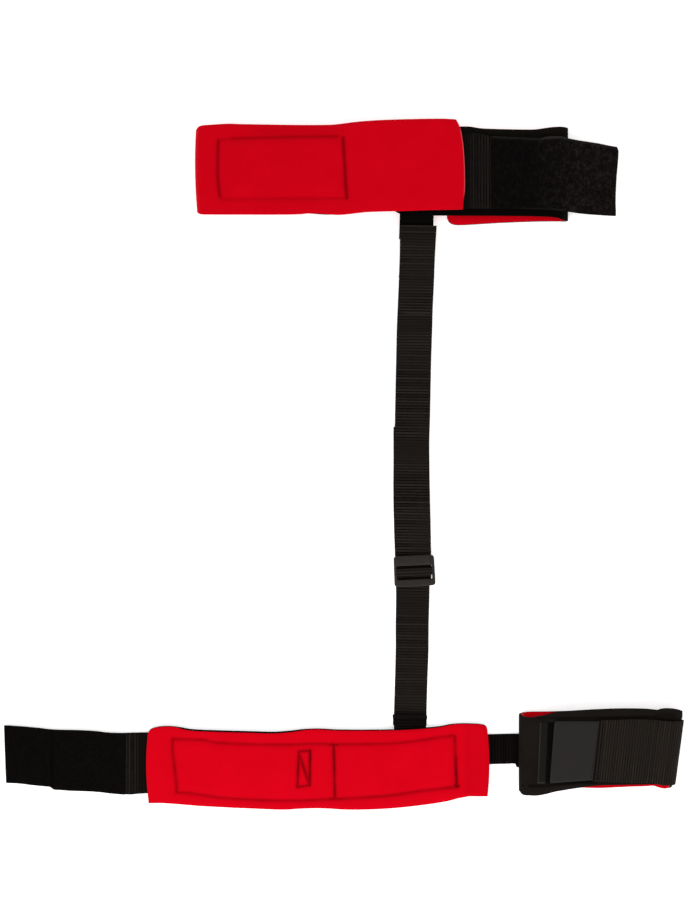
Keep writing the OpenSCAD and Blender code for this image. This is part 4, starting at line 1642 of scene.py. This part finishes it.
def sideHemPlace(u, v):
    h = sideClosure["hem"]
    angle = math.radians(mix(h["from"], h["to"], u))
    y = mix(-184.4, -228.2, v)
    x = sideClosure["wrapX"] + h["radius"] * math.cos(angle)
    z = sideCuff["foldHeight"] + h["radius"] * math.sin(angle)
    return (x + sideSlant(234, y), y, z), u * 5.6, y


sideHem = layCloth("sideClosureHem", 12, 30, sideHemPlace, 0.8, 0.2)
finishCloth(sideHem, elasticFinish, ["side_closure_hem"], "side_cuff")
print("side cuff laid")


# stitching: one stitch is modelled, then copied along each line

def modelStitch(length, thickness):
    pickNothing()
    bpy.ops.mesh.primitive_cylinder_add(
        vertices=6, radius=thickness / 2 * mm, depth=length * mm, rotation=(0, math.pi / 2, 0),
    )
    stitch = bpy.context.object
    settleShape()
    bpy.ops.object.mode_set(mode="EDIT")
    bpy.ops.mesh.select_all(action="SELECT")
    bpy.ops.mesh.bisect(plane_co=(0, 0, 0), plane_no=(1, 0, 0))
    bpy.ops.object.mode_set(mode="OBJECT")
    # both ends dive into the cloth
    for point in stitch.data.vertices:
        if abs(point.co.x) > length * 0.4 * mm:
            point.co.z -= thickness * 0.5 * mm
            point.co.y *= 0.7
    return stitch


def runStitches(name, lines, height, material, nodes, body, pitch=2.9, length=2.2):
    source = modelStitch(length, 0.5)
    wobble = random.Random(len(name) + len(lines))
    copies = []
    for a, b, _ in lines:
        count = max(1, round(math.dist(a, b) / pitch))
        angle = math.atan2(b[1] - a[1], b[0] - a[0])
        for i in range(count):
            t = (i + 0.5) / count
            x, y = mix(a[0], b[0], t), mix(a[1], b[1], t)
            z = height(x, y) if callable(height) else height
            turn = Matrix.Rotation(angle + wobble.uniform(-0.05, 0.05), 4, "Z")
            copies.append(copyOf(source, Matrix.Translation(Vector((x, y, z)) * mm) @ turn))
    bpy.data.objects.remove(source)
    seam = joinPieces(copies, name)
    smoothOver(seam, 70)
    dress(seam, material, nodes, body)


def onUpperFlap(x, y):
    return upperFlap["top"] + upperFlapRelief(x, y, 1) - 0.12


def onLowerPad(x, y):
    return lowerPad["top"] + lowerPadRelief(x, y) - 0.1


def onSideCuff(x, y):
    return 13.52 + sideRelief(x, y, 2)


def onStrapEnd(x, y):
    # the strap's end climbs onto the cuff
    return 11.95 - (246.6 - (y - strapFrame["y"])) * 0.241


def acrossStrap(alongs, half, wander):
    return [(inStrap(wander - half, along, 0)[:2], inStrap(wander + half, along, 0)[:2],
             1) for along in alongs]


runStitches("upperPanelStitches", upperFlapSeams, onUpperFlap, redThread, ["upper_front_seam"], "upper_front")
runStitches("lowerPanelStitches", sewnRuns(lowerPad["seams"]), onLowerPad, wineThread, ["pad_seam"],
            "lower_pad",
            pitch=2.7, length=2.3)
runStitches("lowerPadTacks", lowerPadTacks + sewnRuns(lowerPad["divider"]), onLowerPad, tackThread,
            ["pad_tack"],
            "lower_pad", pitch=1.9, length=1.9)
runStitches("sideCuffStitches", sideStitches, onSideCuff, darkThread, [], "side_cuff")
for name, lines, height, body, pitch, length in (
    ("sidePatchStitches", [((144.6, -185.2), (143.0, -225.6), 1)], 14.15, "side_cuff", 2.6, 2.2),
    ("sideTabStitches", [((180.4, -184.4), (175.6, -223.6), 1), ((184.4, -184.4), (180.0, -224.6), 1)], 15.95,
     "side_closure", 2.4, 1.9),
    ("upperClosureStitches", [((107.2, 184), (107.2, 231.6), 1)], 12.98, "upper_closure", 2.6, 2.2),
    ("lowerClosureStitches", [((-159, -194.8), (-159, -234.6), 1)], 3.0, "lower_closure", 2.6, 2.2),
    ("anchorStitches", acrossStrap((-102.3, -103.8), 10.6, 0.3), 1.62, "lower_pad", 2.3, 1.8),
    ("strapEndStitches", acrossStrap((240.5, 244), 11.2, 0.4), onStrapEnd, "upper_strap", 2.3, 1.8),
):
    runStitches(name, lines, height, darkThread, [], body, pitch, length)
print("stitching sewn")


# loose loops standing out of the fuzzy faces

def modelLoop(radius, wire):
    pickNothing()
    bpy.ops.mesh.primitive_torus_add(
        major_segments=7, minor_segments=3, major_radius=radius * mm, minor_radius=wire * mm,
        rotation=(math.pi / 2, 0, 0),
    )
    loop = bpy.context.object
    settleShape()
    return loop


def scatterLoops(name, count, area, height, body, seed):
    source = modelLoop(0.55, 0.08)
    pick = random.Random(seed)
    copies = []
    while len(copies) < count:
        x = pick.uniform(area["left"], area["right"])
        y = mix(area["low"](x) + 1, area["high"](x) - 1, pick.uniform(0, 1))
        if cloud(x, y, 9, seed) + area["crowd"](x) < pick.uniform(-0.5, 0.3):
            continue
        spin = Matrix.Rotation(pick.uniform(0, math.pi), 4, "Z")
        lean = Matrix.Rotation(pick.uniform(-1.1, 1.1), 4, "X")
        size = Matrix.Diagonal((pick.uniform(0.6, 1.5), pick.uniform(0.6, 1.5), pick.uniform(0.4, 1.0), 1))
        copies.append(copyOf(source, Matrix.Translation(Vector((x, y, height)) * mm) @ spin @ lean @ size))
    bpy.data.objects.remove(source)
    pile = joinPieces(copies, name)
    smoothOver(pile, 80)
    dress(pile, hookFuzz, [], body)


upperArea = {
    "left": 112, "right": 191, "low": upperClosure["low"], "high": upperClosure["hookHigh"],
    "crowd": lambda x: 0.25 * ease((x - 130) / 30) - 0.12,
}
lowerArea = {
    "left": -239, "right": -160, "low": lowerClosure["low"], "high": lowerClosure["high"],
    "crowd": lambda x: 0,
}
scatterLoops("upperHookLoops", 620, upperArea, 13.0, "upper_closure", 3)
scatterLoops("lowerHookLoops", 260, lowerArea, 3.1, "lower_closure", 5)
print("loops scattered")
